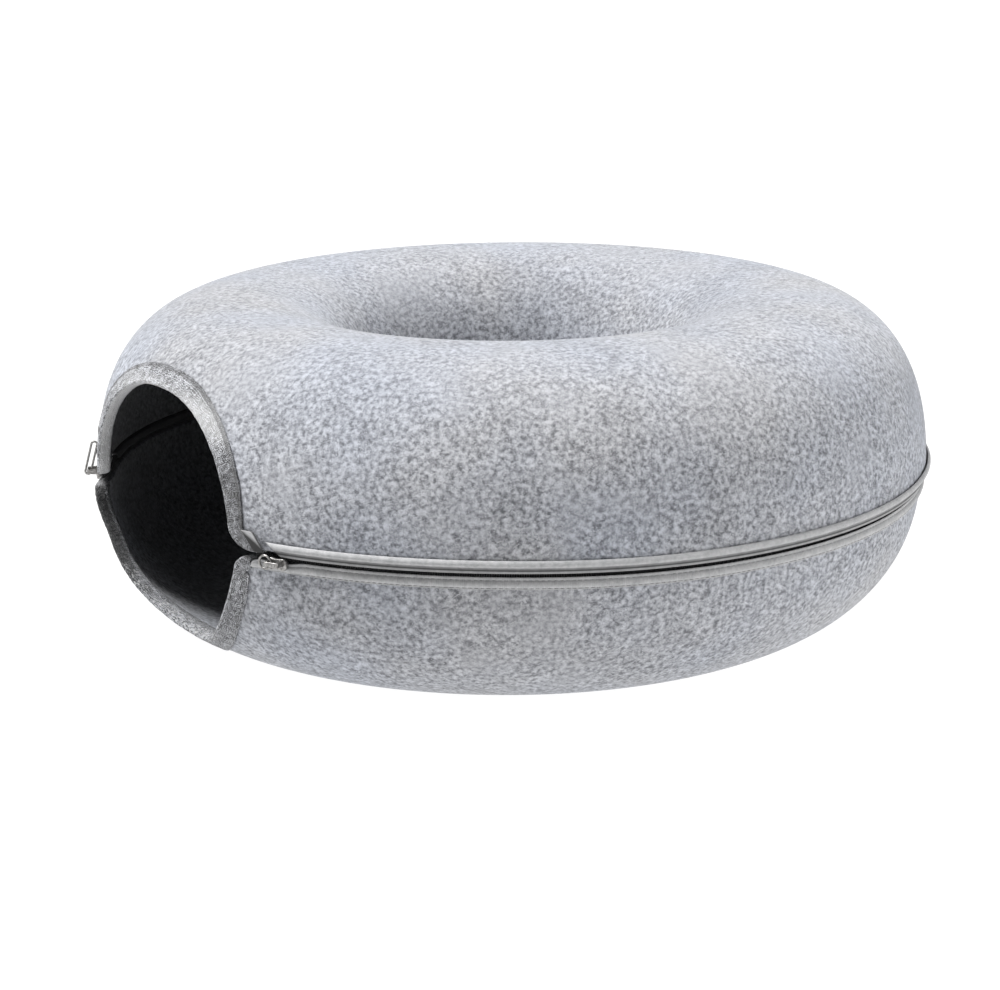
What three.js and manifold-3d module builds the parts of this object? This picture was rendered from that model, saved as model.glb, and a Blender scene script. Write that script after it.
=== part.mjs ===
// Donut-shaped cat bed of thick grey felt, in millimetres, with +Z up.
// Two moulded felt shells meet at a zip round the outside and at a butted seam in the hole's neck.
// An arched entrance is cut through both shells and bound with tape folded over the cut edge.
// Everything is made with the entrance facing +X, and the whole bed is turned at the end.
import * as THREE from 'three';
import { mergeVertices } from 'three/addons/utils/BufferGeometryUtils.js';
import Module from 'manifold-3d';

const wasm = await Module();
wasm.setup();

// Whole bed
const bedRadius = 250;
const bedHeight = 196;
const entranceAzimuth = 225;
const feltThickness = 5;
const gap = 0.3;

// Upper shell: shoulder, crown and funnel of the hole
const zipHeight = 92;
const crownRadius = 164;
const shoulderFullness = 2.45;
const funnelFullness = 2.6;
const neckRadius = 84;
const neckHeight = 94;
const upperEdgeHeight = zipHeight + 4;

// Lower shell: it tucks in a little under the zip and stands on a flat ring
const lowerRadius = 247;
const baseOuterRadius = 155;
const baseInnerRadius = 125;
const bellyFullness = 2.05;
const lowerEdgeHeight = zipHeight - 3.3;

// Entrance: an arch in the upper shell and a shallower hollow in the lower one
const entranceHalfWidth = 87;
const archHeight = 75;
const archFullness = 2.25;
const archCorner = 14;
const hollowDepth = 73;
const hollowFullness = 1.85;
const hollowCorner = 8;

// The lower lip of the entrance splays outwards a little, where nothing holds its edge
const lipSplay = 6;
const lipSplayAngle = 40;
const lipSplayTop = 86;

// Binding: tape folded over the cut edge, with feet that run out along the zip
const bindingWidth = 11;
const bindingReach = 1.5;
const upperFootEnd = 105;
const upperFootEndLeft = 124;
const lowerFootEnd = 97;

// Zip: a proud rounded fold above, a flat tape below, the coil between them
const foldTop = zipHeight + 9.4;
const foldProud = 2.6;
const tapeBottom = zipHeight - 8.1;
const tapeProud = 2.3;
const foldUnder = 1.4;
const tapeDepth = 6;
const coilHeight = 3.3;
const coilOuterRadius = 247.5;
const coilInnerRadius = 243.5;
const coilStart = 98.5;

// Sliders and their wire pulls
const sliderAngle = 27.7;
const plateLength = 12;
const plateHeight = 6.8;
const plateThickness = 2;
const plateMiddle = zipHeight - 1.4;
const noseLength = 3;
const noseHeight = 2.2;
const bridgeSpan = 9.2;
const bridgeLeg = 1.1;
const bridgeWidth = 2;
const bridgeWindow = 5;
const bridgeBeam = 1;
const bridgeRise = 1.2;
const wireRadius = 0.65;
const ringRadius = 3.6;
const loopHalfHeight = 10.3;
const loopHalfDepth = 1.7;
const loopDrop = 2.3;
const loopTilt = 10;

// How finely the round forms are divided
const turns = 64;
const outsideSteps = 18;
const insideSteps = 12;
const curveSamples = 160;
const edgeSteps = 9;
const cornerSteps = 4;
const wireSides = 6;
const wireSteps = 20;

const felt = new THREE.MeshStandardMaterial({ color: 0xa9abb0, roughness: 0.95, metalness: 0 });
const bindingTape = new THREE.MeshStandardMaterial({ color: 0x77797b, roughness: 0.85, metalness: 0 });
const zipTape = new THREE.MeshStandardMaterial({ color: 0x9c9f9d, roughness: 0.8, metalness: 0 });
const coilNylon = new THREE.MeshStandardMaterial({ color: 0x2a2b2c, roughness: 0.5, metalness: 0 });
const sliderMetal = new THREE.MeshStandardMaterial({ color: 0xc4c6c6, roughness: 0.3, metalness: 1 });

// A closed three.js geometry as a solid that can be cut and joined.
function toSolid(geometry) {
  geometry.deleteAttribute('normal');
  geometry.deleteAttribute('uv');
  const merged = mergeVertices(geometry, 1e-4);
  return new wasm.Manifold(new wasm.Mesh({
    numProp: 3,
    vertProperties: new Float32Array(merged.attributes.position.array),
    triVerts: new Uint32Array(merged.index.array),
  }));
}

// A solid as a named mesh in its own material.
function toMesh(name, solid, material) {
  const { vertProperties, triVerts } = solid.getMesh();
  const geometry = new THREE.BufferGeometry();
  geometry.setAttribute('position', new THREE.BufferAttribute(vertProperties, 3));
  geometry.setIndex(new THREE.BufferAttribute(triVerts, 1));
  geometry.computeVertexNormals();
  const mesh = new THREE.Mesh(geometry, material);
  mesh.name = name;
  return mesh;
}

// A closed section of radius and height, turned round the bed's upright axis.
function revolve(section) {
  const profile = [...section, section[0]];
  return toSolid(new THREE.LatheGeometry(profile, turns).rotateX(Math.PI / 2));
}

// An outline of sideways place and height, extruded outwards through the entrance side.
function throughEntrance(outline, from = 180, to = 280) {
  const settings = { depth: to - from, bevelEnabled: false, steps: 1 };
  const geometry = new THREE.ExtrudeGeometry(new THREE.Shape(outline), settings);
  const basis = new THREE.Matrix4().makeBasis(
    new THREE.Vector3(0, 1, 0),
    new THREE.Vector3(0, 0, 1),
    new THREE.Vector3(1, 0, 0),
  );
  return toSolid(geometry.applyMatrix4(basis).translate(from, 0, 0));
}

// A quarter of a superellipse, from its side point to its top or bottom point.
function quarter(centre, reach, fullness, steps) {
  const points = [];
  for (let i = 0; i <= steps; i += 1) {
    const angle = (Math.PI / 2) * (i / steps);
    const across = reach.x * Math.max(Math.cos(angle), 0) ** (2 / fullness);
    const up = reach.y * Math.sin(angle) ** (2 / fullness);
    points.push(new THREE.Vector2(centre.x + across, centre.y + up));
  }
  return points;
}

// The upper shell's outside, from its edge at the zip over the crown and down to the neck.
function upperCurve() {
  const shoulder = quarter(
    new THREE.Vector2(crownRadius, zipHeight),
    new THREE.Vector2(bedRadius - crownRadius, bedHeight - zipHeight),
    shoulderFullness,
    curveSamples,
  );
  const funnel = quarter(
    new THREE.Vector2(crownRadius, neckHeight),
    new THREE.Vector2(neckRadius - crownRadius, bedHeight - neckHeight),
    funnelFullness,
    curveSamples,
  );
  const aboveEdge = shoulder.filter((point) => point.y >= upperEdgeHeight);
  return [...aboveEdge.slice(0, -1), ...funnel.reverse()];
}

// The lower shell's outside, from its edge at the zip over the flat base and up to the neck.
function lowerCurve() {
  const belly = quarter(
    new THREE.Vector2(baseOuterRadius, zipHeight),
    new THREE.Vector2(lowerRadius - baseOuterRadius, -zipHeight),
    bellyFullness,
    curveSamples,
  );
  const well = quarter(
    new THREE.Vector2(baseInnerRadius, neckHeight),
    new THREE.Vector2(neckRadius - baseInnerRadius, -neckHeight),
    bellyFullness,
    curveSamples,
  );
  const belowEdge = belly.filter((point) => point.y <= lowerEdgeHeight);
  return { belly: belowEdge, well: well.reverse() };
}

// Points evenly spaced along a smooth curve.
function evenly(points, steps) {
  return new THREE.SplineCurve(points).getSpacedPoints(steps);
}

// A row of points moved sideways, to the left of its direction when distance is positive.
function offset(points, distance) {
  return points.map((point, i) => {
    const before = points[Math.max(i - 1, 0)];
    const after = points[Math.min(i + 1, points.length - 1)];
    const along = after.clone().sub(before).normalize();
    return new THREE.Vector2(point.x - along.y * distance, point.y + along.x * distance);
  });
}

// The closed section of a shell of felt that follows a curve, grown all round by some clearance.
// outward is the side of the curve on which the outside lies, and the ends are cut level.
function feltSection(outsidePoints, insidePoints, outward, edge, neck, grown) {
  const outside = offset(outsidePoints, outward * grown);
  const inside = offset(insidePoints, -outward * (feltThickness + grown));
  for (const side of [outside, inside]) {
    side[0].y = edge;
    side[side.length - 1].y = neck;
  }
  return [...outside, ...inside.reverse()];
}

function upperShellSolid(grown = 0) {
  const curve = upperCurve();
  const section = feltSection(
    evenly(curve, outsideSteps),
    evenly(curve, insideSteps),
    -1,
    upperEdgeHeight - grown,
    neckHeight + gap / 2 - grown,
    grown,
  );
  return revolve(section);
}

function lowerShellSolid(grown = 0) {
  const { belly, well } = lowerCurve();
  const pieces = (bellySteps, wellSteps) => [...evenly(belly, bellySteps), ...evenly(well, wellSteps)];
  const section = feltSection(
    pieces(outsideSteps / 2, outsideSteps / 3),
    pieces(insideSteps / 2, insideSteps / 3),
    1,
    lowerEdgeHeight + grown,
    neckHeight - gap / 2 + grown,
    grown,
  );
  return revolve(section.reverse()).warp(splay);
}

// Moves a point of the lower shell outwards near the entrance, most at two fifths of the lip's height.
function splay(point) {
  const [x, y, z] = point;
  const radius = Math.hypot(x, y);
  const rise = THREE.MathUtils.clamp(z / lipSplayTop, 0, 1);
  const around = THREE.MathUtils.radToDeg(Math.atan2(y, x)) / lipSplayAngle;
  const outer = THREE.MathUtils.smoothstep(radius, baseInnerRadius, baseOuterRadius + 40);
  const bulge = Math.sin(Math.PI * rise ** 0.75);
  const amount = lipSplay * bulge * Math.exp(-around * around) * outer;
  point[0] = x * (1 + amount / radius);
  point[1] = y * (1 + amount / radius);
}

// Half of the entrance's edge in one shell, from the middle to the end of its foot,
// moved into the felt by inset. side is 1 above the zip and -1 below it.
function halfEdge(side, inset, footEnd) {
  const upper = side > 0;
  const reach = upper ? archHeight : hollowDepth;
  const fullness = upper ? archFullness : hollowFullness;
  const corner = upper ? archCorner : hollowCorner;
  const edgeHeight = upper ? upperEdgeHeight : lowerEdgeHeight;
  const cornerHeight = edgeHeight + side * corner;
  const rise = Math.abs(cornerHeight - zipHeight) / reach;
  const legPlace = entranceHalfWidth * (1 - rise ** fullness) ** (1 / fullness);
  const arch = quarter(
    new THREE.Vector2(0, zipHeight),
    new THREE.Vector2(entranceHalfWidth + inset, side * (reach + inset)),
    fullness,
    edgeSteps * 3,
  );
  const beyondCorner = (point) => side * (point.y - cornerHeight) > corner / 2;
  const points = evenly(arch.filter(beyondCorner), edgeSteps).reverse();
  const radius = corner - inset;
  if (radius > 0) {
    for (let i = 0; i <= cornerSteps; i += 1) {
      const turn = (Math.PI / 2) * (i / cornerSteps);
      const across = legPlace + corner - radius * Math.cos(turn);
      points.push(new THREE.Vector2(across, cornerHeight - side * radius * Math.sin(turn)));
    }
  } else {
    points.push(new THREE.Vector2(legPlace + inset, edgeHeight + side * inset));
  }
  points.push(new THREE.Vector2(footEnd, edgeHeight + side * inset));
  return points;
}

// The whole entrance in one shell as a closed outline that reaches past the shell's edge.
function entranceOutline(side, inset, rightEnd, leftEnd = rightEnd) {
  const past = side > 0 ? upperEdgeHeight - 20 : lowerEdgeHeight + 20;
  const right = halfEdge(side, inset, rightEnd);
  const left = halfEdge(side, inset, leftEnd).map((point) => new THREE.Vector2(-point.x, point.y));
  return [
    ...left.reverse().slice(0, -1),
    ...right,
    new THREE.Vector2(rightEnd, past),
    new THREE.Vector2(-leftEnd, past),
  ];
}

function cutShell(shellSolid, side) {
  return shellSolid().subtract(throughEntrance(entranceOutline(side, 0, bedRadius / 2)));
}

// Tape folded over the cut edge: outside face, cut edge and inside face in one piece.
function binding(shellSolid, side, rightEnd, leftEnd) {
  const opening = (inset) => throughEntrance(entranceOutline(side, inset, bedRadius));
  const band = throughEntrance(entranceOutline(side, bindingWidth, rightEnd, leftEnd));
  const tapeSpace = shellSolid(bindingReach).intersect(band).subtract(opening(-bindingReach));
  return tapeSpace.subtract(shellSolid(gap).subtract(opening(-gap)));
}

// A ring along the zip, from one side of the entrance to the other.
function zipRing(section, rightEnd, leftEnd) {
  const clear = [
    new THREE.Vector2(rightEnd, 0),
    new THREE.Vector2(rightEnd, bedHeight),
    new THREE.Vector2(-leftEnd, bedHeight),
    new THREE.Vector2(-leftEnd, 0),
  ];
  return revolve(section).subtract(throughEntrance(clear));
}

// The upper tape: folded under the felt's edge and rounded over its outside.
function foldSection() {
  const seat = bedRadius + gap;
  const top = upperEdgeHeight - gap;
  const bottom = top - foldUnder;
  const middle = (foldTop + bottom) / 2;
  return [
    new THREE.Vector2(bedRadius - tapeDepth, bottom),
    new THREE.Vector2(seat + foldProud * 0.2, bottom),
    new THREE.Vector2(seat + foldProud * 0.75, bottom + 1.5),
    new THREE.Vector2(seat + foldProud, middle),
    new THREE.Vector2(seat + foldProud * 0.75, foldTop - 1.2),
    new THREE.Vector2(seat + foldProud * 0.2, foldTop),
    new THREE.Vector2(seat, foldTop),
    new THREE.Vector2(seat, top),
    new THREE.Vector2(bedRadius - tapeDepth, top),
  ];
}

// The lower tape: folded over the felt's edge and flat on its outside.
function tapeSection() {
  const seat = lowerRadius + gap;
  const bottom = lowerEdgeHeight + gap;
  const top = bottom + foldUnder;
  return [
    new THREE.Vector2(lowerRadius - tapeDepth, bottom),
    new THREE.Vector2(seat, bottom),
    new THREE.Vector2(seat, tapeBottom),
    new THREE.Vector2(seat + tapeProud * 0.6, tapeBottom),
    new THREE.Vector2(seat + tapeProud, tapeBottom + 1.2),
    new THREE.Vector2(seat + tapeProud, top - 0.8),
    new THREE.Vector2(seat + tapeProud * 0.5, top),
    new THREE.Vector2(lowerRadius - tapeDepth, top),
  ];
}

function coilSection() {
  const bottom = lowerEdgeHeight + foldUnder + 2 * gap;
  const bevel = coilHeight / 3;
  return [
    new THREE.Vector2(coilInnerRadius, bottom + bevel),
    new THREE.Vector2(coilInnerRadius + bevel, bottom),
    new THREE.Vector2(coilOuterRadius - bevel, bottom),
    new THREE.Vector2(coilOuterRadius, bottom + bevel),
    new THREE.Vector2(coilOuterRadius, bottom + coilHeight - bevel),
    new THREE.Vector2(coilOuterRadius - bevel, bottom + coilHeight),
    new THREE.Vector2(coilInnerRadius + bevel, bottom + coilHeight),
    new THREE.Vector2(coilInnerRadius, bottom + coilHeight - bevel),
  ];
}

// A slider in its own frame: X outwards, Y along the zip, Z up, and its plate's back at X = 0.
function sliderSolid() {
  const halfLength = plateLength / 2;
  const halfHeight = plateHeight / 2;
  const plateOutline = [
    new THREE.Vector2(-halfLength, -halfHeight * 0.55),
    new THREE.Vector2(-halfLength * 0.7, -halfHeight),
    new THREE.Vector2(halfLength * 0.7, -halfHeight),
    new THREE.Vector2(halfLength, -halfHeight * 0.55),
    new THREE.Vector2(halfLength, halfHeight * 0.55),
    new THREE.Vector2(halfLength * 0.7, halfHeight),
    new THREE.Vector2(-halfLength * 0.7, halfHeight),
    new THREE.Vector2(-halfLength, halfHeight * 0.55),
  ];
  const plate = throughEntrance(plateOutline, 0, plateThickness);
  const noseDepth = lowerRadius + gap + tapeProud + gap - coilOuterRadius - gap;
  const nose = toSolid(
    new THREE.BoxGeometry(noseDepth + 1, noseLength, noseHeight)
      .translate(1 - (noseDepth + 1) / 2, 0, zipHeight + gap - plateMiddle),
  );
  const top = plateThickness + bridgeWindow + bridgeBeam;
  const beam = toSolid(
    new THREE.BoxGeometry(bridgeBeam, bridgeSpan, bridgeWidth)
      .translate(top - bridgeBeam / 2, 0, bridgeRise),
  );
  const leg = (end) => toSolid(
    new THREE.BoxGeometry(top - 1, bridgeLeg, bridgeWidth)
      .translate((top + 1) / 2, end * (bridgeSpan - bridgeLeg) / 2, bridgeRise),
  );
  return plate.add(nose).add(beam).add(leg(-1)).add(leg(1));
}

// A mesh moved from the slider's frame to its place on the zip, end being 1 right and -1 left.
function onZip(mesh, end) {
  const place = new THREE.Group();
  const seat = lowerRadius + gap + tapeProud + gap;
  const angle = THREE.MathUtils.degToRad(sliderAngle) * end;
  place.rotation.z = angle;
  place.position.set(seat * Math.cos(angle), seat * Math.sin(angle), plateMiddle);
  place.add(mesh);
  return place;
}

function wireTorus(radius) {
  return new THREE.TorusGeometry(radius, wireRadius, wireSides, wireSteps);
}

// The right-hand pull: a wire ring round the bridge's leg nearer the entrance.
function ringPull() {
  const wire = wireTorus(ringRadius).rotateY(Math.PI / 2);
  const legInner = bridgeSpan / 2 - bridgeLeg;
  const sideways = 2 * gap + wireRadius - legInner - ringRadius;
  return wire.translate(plateThickness + bridgeWindow / 2, sideways, bridgeRise);
}

// The left-hand pull: a long wire loop round the bridge's beam, standing up and leaning inwards.
function loopPull() {
  const wire = wireTorus(loopHalfDepth).rotateX(Math.PI / 2);
  const position = wire.attributes.position;
  for (let i = 0; i < position.count; i += 1) {
    const height = position.getZ(i);
    const half = Math.abs(height) < 1e-6 ? 0 : Math.sign(height);
    position.setZ(i, height + half * (loopHalfHeight - loopHalfDepth));
  }
  const beamMiddle = plateThickness + bridgeWindow + bridgeBeam / 2;
  return wire
    .translate(0, 0, loopHalfHeight - loopDrop)
    .rotateY(THREE.MathUtils.degToRad(-loopTilt))
    .translate(beamMiddle, 0, bridgeRise);
}

const bed = new THREE.Group();
bed.rotation.z = THREE.MathUtils.degToRad(entranceAzimuth);
bed.add(toMesh('upper_shell', cutShell(upperShellSolid, 1), felt));
bed.add(toMesh('lower_shell', cutShell(lowerShellSolid, -1), felt));
bed.add(toMesh('binding_upper', binding(upperShellSolid, 1, upperFootEnd, upperFootEndLeft), bindingTape));
bed.add(toMesh('binding_lower', binding(lowerShellSolid, -1, lowerFootEnd, lowerFootEnd), bindingTape));
bed.add(toMesh(
  'zip_tape_upper',
  zipRing(foldSection(), upperFootEnd + gap, upperFootEndLeft + gap),
  zipTape,
));
bed.add(toMesh('zip_tape_lower', zipRing(tapeSection(), lowerFootEnd + gap, lowerFootEnd + gap), zipTape));
bed.add(toMesh('zip_coil', zipRing(coilSection(), coilStart, coilStart), coilNylon));
bed.add(onZip(toMesh('slider_right', sliderSolid(), sliderMetal), 1));
bed.add(onZip(toMesh('slider_left', sliderSolid(), sliderMetal), -1));
bed.add(onZip(toMesh('pull_right', toSolid(ringPull()), sliderMetal), 1));
bed.add(onZip(toMesh('pull_left', toSolid(loopPull()), sliderMetal), -1));

export default bed;
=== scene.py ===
# %% [markdown]
# # Dressing a felt donut bed
# The bed is a ring of thick grey felt with an arched entrance, a zip round its widest part and
# an open middle. Its pieces come in as a fixed frame of plain solids, all in metres.
# Everything modelled below takes its size and place from that frame.

# %% Load the frame
import math

import bmesh
import bpy
import numpy as np
from mathutils import Matrix, Vector


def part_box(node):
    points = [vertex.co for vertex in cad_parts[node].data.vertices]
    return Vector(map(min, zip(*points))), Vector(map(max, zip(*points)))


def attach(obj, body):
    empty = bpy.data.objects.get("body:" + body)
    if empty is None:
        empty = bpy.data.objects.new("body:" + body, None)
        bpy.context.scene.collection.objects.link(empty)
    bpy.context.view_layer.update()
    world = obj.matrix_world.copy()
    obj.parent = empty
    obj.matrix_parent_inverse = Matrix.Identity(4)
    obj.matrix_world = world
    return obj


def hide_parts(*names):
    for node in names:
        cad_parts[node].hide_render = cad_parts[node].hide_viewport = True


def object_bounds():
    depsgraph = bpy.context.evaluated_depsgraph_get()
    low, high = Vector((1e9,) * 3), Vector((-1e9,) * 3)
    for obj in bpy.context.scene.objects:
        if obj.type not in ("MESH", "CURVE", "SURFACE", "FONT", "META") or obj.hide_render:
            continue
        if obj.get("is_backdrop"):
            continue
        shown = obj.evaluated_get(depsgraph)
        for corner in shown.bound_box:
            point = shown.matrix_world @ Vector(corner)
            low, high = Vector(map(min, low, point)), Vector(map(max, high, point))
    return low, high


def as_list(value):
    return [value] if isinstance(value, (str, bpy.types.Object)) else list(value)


MM = 0.001

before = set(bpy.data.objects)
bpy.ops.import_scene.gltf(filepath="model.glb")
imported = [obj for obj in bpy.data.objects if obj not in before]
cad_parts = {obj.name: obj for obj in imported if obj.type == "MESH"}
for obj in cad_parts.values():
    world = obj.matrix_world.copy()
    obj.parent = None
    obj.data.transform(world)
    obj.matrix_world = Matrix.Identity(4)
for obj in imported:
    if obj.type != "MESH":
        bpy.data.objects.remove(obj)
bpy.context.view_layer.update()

# %% [markdown]
# ## The camera
# The photo looks down at the bed by about 14 degrees with a long lens. The entrance then shows
# at the left, in three-quarter view. The bed sits a little above the middle of the picture, so
# the camera is turned by that much after it is aimed, which keeps its lens shift at zero.

# %% Aim the camera
PHOTO_WIDTH, PHOTO_HEIGHT = 1000, 990
CAMERA_DISTANCE = 1.5525
CAMERA_AZIMUTH, CAMERA_ELEVATION, CAMERA_ROLL = (math.radians(a) for a in (12.5, 14.4, 0.4))
FOCAL_PIXELS = 2533
AIM_PIXEL = (512.6, 461.4)
AIM_POINT = Vector((0, 0, 0.09))


def aim_camera():
    """A camera that puts the aim point on the aim pixel of the photo's frame."""
    swing = Matrix.Rotation(CAMERA_AZIMUTH, 3, "Z")
    right = swing @ Vector((1, 0, 0))
    forward = swing @ Vector((0, math.cos(CAMERA_ELEVATION), -math.sin(CAMERA_ELEVATION)))
    yaw = math.atan2(AIM_PIXEL[0] - PHOTO_WIDTH / 2, FOCAL_PIXELS)
    pitch = math.atan2(AIM_PIXEL[1] - PHOTO_HEIGHT / 2, FOCAL_PIXELS)
    axes = Matrix((right, right.cross(forward), forward))
    for angle, axis in ((yaw, "Y"), (pitch, "X"), (CAMERA_ROLL, "Z")):
        axes = Matrix.Rotation(angle, 3, axis) @ axes
    placed = Matrix((axes[0], axes[1], -axes[2])).transposed().to_4x4()
    placed.translation = AIM_POINT - CAMERA_DISTANCE * forward
    bpy.ops.object.camera_add()
    camera = bpy.context.object
    camera.matrix_world = placed
    camera.data.sensor_width = 36
    camera.data.lens = camera.data.sensor_width * FOCAL_PIXELS / PHOTO_WIDTH
    bpy.context.scene.camera = camera
    return camera


camera = aim_camera()
print("camera at", [round(c, 3) for c in camera.location], "lens", round(camera.data.lens, 1), "mm")

# %% [markdown]
# ## The shape of the felt
# Each shell is a surface of revolution, and its section is made of two quarter ovals with full
# shoulders, which are superellipses. The outline of the entrance is such an oval too. Working
# these out once, as functions, lets the felt, the binding and the stitches share one surface.

# %% Driving sizes
felt_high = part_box("upper_shell")[1]
BED_RADIUS, BED_HEIGHT = felt_high.x, felt_high.z
FELT = 5 * MM
ZIP_HEIGHT = 92 * MM
CROWN_RADIUS = 164 * MM
SHOULDER_FULLNESS, FUNNEL_FULLNESS, BELLY_FULLNESS = 2.45, 2.6, 2.05
NECK_RADIUS, NECK_HEIGHT = 84 * MM, 94 * MM
UPPER_EDGE, LOWER_EDGE = ZIP_HEIGHT + 4 * MM, ZIP_HEIGHT - 3.3 * MM
LOWER_RADIUS = 247 * MM
BASE_OUTER, BASE_INNER = 155 * MM, 125 * MM
ENTRANCE_AZIMUTH = math.radians(225)
print("felt ring radius", round(BED_RADIUS / MM, 1), "mm, height", round(BED_HEIGHT / MM, 1), "mm")

# %% [markdown]
# A few small functions do the geometry: ovals, even spacing, the left-hand side of a line, places
# round the bed's axis, and a share that rises smoothly between two values.

# %% Section curves


def quarter_oval(centre, corner, fullness, count=400):
    """A quarter superellipse in the box from its centre to a corner, from its side point on."""
    angle = np.linspace(0, math.pi / 2, count)
    across = np.clip(np.cos(angle), 0, 1) ** (2 / fullness)
    up = np.sin(angle) ** (2 / fullness)
    return centre + np.subtract(corner, centre) * np.column_stack((across, up))


def run_along(points):
    """How far along a line each of its points lies."""
    return np.append(0, np.cumsum(np.linalg.norm(np.diff(points, axis=0), axis=1)))


def even_points(points, count):
    """The same line with its points evenly spaced."""
    run = run_along(points)
    return np.column_stack([np.interp(np.linspace(0, run[-1], count), run, points[:, k]) for k in (0, 1)])


def normals_of(points):
    """Unit normals on the left of the line's direction."""
    along = np.gradient(points, axis=0)
    along /= np.linalg.norm(along, axis=1)[:, None]
    return np.column_stack((-along[:, 1], along[:, 0]))


def around(radius, angle, height):
    """Points at a radius, angle and height round the bed's axis."""
    return np.column_stack(np.broadcast_arrays(radius * np.cos(angle), radius * np.sin(angle), height))


def turned_from(azimuth, x, y):
    """The angle from an azimuth to each point, between minus and plus half a turn."""
    return (np.arctan2(y, x) - azimuth + math.pi) % (2 * math.pi) - math.pi


def ease(value, low=0, high=1):
    """A share that goes smoothly from 0 at low to 1 at high."""
    share = np.clip((value - low) / (high - low), 0, 1)
    return share * share * (3 - 2 * share)


shoulder = quarter_oval((CROWN_RADIUS, ZIP_HEIGHT), (BED_RADIUS, BED_HEIGHT), SHOULDER_FULLNESS)
funnel = quarter_oval((CROWN_RADIUS, NECK_HEIGHT), (NECK_RADIUS, BED_HEIGHT), FUNNEL_FULLNESS)
belly = quarter_oval((BASE_OUTER, ZIP_HEIGHT), (LOWER_RADIUS, 0), BELLY_FULLNESS)
well = quarter_oval((BASE_INNER, NECK_HEIGHT), (NECK_RADIUS, 0), BELLY_FULLNESS)
upper_line = np.vstack((shoulder[:-1], funnel[::-1]))
lower_line = np.vstack((belly, well[::-1]))
for line, where in ((upper_line, "above"), (lower_line, "below")):
    print("the felt's section is", round(run_along(line)[-1] / MM), "mm", where, "the zip")

# %% [markdown]
# The lower lip of the entrance splays outwards by a few millimetres, because the felt has lost
# its support there. One function moves any point of the lower half by that much, so the felt,
# its binding and the stitches all splay together.

# %% Splay of the lower lip
LIP_SPLAY = 6 * MM
LIP_ANGLE = math.radians(40)
LIP_TOP = 86 * MM
LOW_BULGE = 0.75  # under 1, it puts the widest place below the lip's middle
SPLAY_FROM, SPLAY_FULL = BASE_INNER, BASE_OUTER + 40 * MM


def splay(points):
    """Moves points near the entrance outwards, most at two fifths of the lip's height."""
    x, y, z = points.T
    radius = np.maximum(np.hypot(x, y), 1e-6)
    bulge = np.sin(math.pi * np.clip(z / LIP_TOP, 0, 1) ** LOW_BULGE)
    bulge *= np.exp(-((turned_from(ENTRANCE_AZIMUTH, x, y) / LIP_ANGLE) ** 2))
    scale = 1 + LIP_SPLAY * bulge * ease(radius, SPLAY_FROM, SPLAY_FULL) / radius
    return np.column_stack((x * scale, y * scale, z))


print("lip splays by", round(LIP_SPLAY / MM), "mm at most")

# %% [markdown]
# ## Working by hand, in code
# The next cell has the few hand movements that the pieces share: deselect everything, go in and
# out of edit mode, draw a chain of edges by extruding a corner again and again, and read or move
# the points of a piece. A spun chain is closed by merging its doubles.

# %% Hand movements
DOUBLES = 0.02 * MM


def clear_selection():
    if bpy.context.object and bpy.context.object.mode != "OBJECT":
        bpy.ops.object.mode_set(mode="OBJECT")
    bpy.ops.object.select_all(action="DESELECT")


def pick(piece):
    """Makes a piece the only selected and active one."""
    clear_selection()
    piece.select_set(True)
    bpy.context.view_layer.objects.active = piece


def named(name):
    """The piece just added, under its own name."""
    piece = bpy.context.object
    piece.name = piece.data.name = name
    return piece


def shape(piece):
    """Goes into edit mode with the whole piece selected."""
    pick(piece)
    bpy.ops.object.mode_set(mode="EDIT")
    bpy.ops.mesh.select_all(action="SELECT")


def put_down(piece):
    """Leaves edit mode and hands the piece back."""
    bpy.ops.object.mode_set(mode="OBJECT")
    return piece


def draw_line(name, points):
    """A chain of edges through 3-D points, drawn by extruding one corner of a plane."""
    clear_selection()
    bpy.ops.mesh.primitive_plane_add(size=MM, location=(0, 0, 0))
    line = named(name)
    shape(line)
    bpy.ops.mesh.merge(type="CENTER")
    bpy.ops.transform.translate(value=points[0])
    for step in np.diff(points, axis=0):
        bpy.ops.mesh.extrude_region_move(TRANSFORM_OT_translate={"value": tuple(step)})
    bpy.ops.mesh.select_all(action="SELECT")
    return line


def close_up(piece):
    """Merges the doubles of a piece in edit mode, makes its normals agree and puts it down."""
    bpy.ops.mesh.select_all(action="SELECT")
    bpy.ops.mesh.remove_doubles(threshold=DOUBLES)
    bpy.ops.mesh.normals_make_consistent(inside=False)
    return put_down(piece)


def add_rounding(piece, width, angle):
    """A bevel on every edge sharper than an angle in degrees."""
    rounding = piece.modifiers.new("rounding", "BEVEL")
    rounding.width = width
    rounding.segments = 3
    rounding.limit_method = "ANGLE"
    rounding.angle_limit = math.radians(angle)


def apply_modifiers(piece):
    pick(piece)
    for modifier in list(piece.modifiers):
        bpy.ops.object.modifier_apply(modifier=modifier.name)


def read_points(piece, what="co"):
    """The places, or normals, of a piece's points, one to a row."""
    values = np.empty(len(piece.data.vertices) * 3)
    piece.data.vertices.foreach_get(what, values)
    return values.reshape(-1, 3)


def move_points(piece, place):
    """Moves every point of a piece as place says, as sculpting would."""
    piece.data.vertices.foreach_set("co", place(read_points(piece)).ravel())
    piece.data.update()


def smooth(piece, angle=40):
    pick(piece)
    bpy.ops.object.shade_smooth_by_angle(angle=math.radians(angle))


def count_faces(piece):
    piece.data.calc_loop_triangles()
    return len(piece.data.loop_triangles)


print("ready to model")

# %% [markdown]
# ## The felt shells
# On the real bed each half is a sheet of needled felt, pressed hot over a form. Here its section
# is drawn as one line, spun all the way round, and given its thickness. The entrance is then cut
# with a Boolean, because the cut runs straight through the felt, as a die or shears would leave it.

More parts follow.
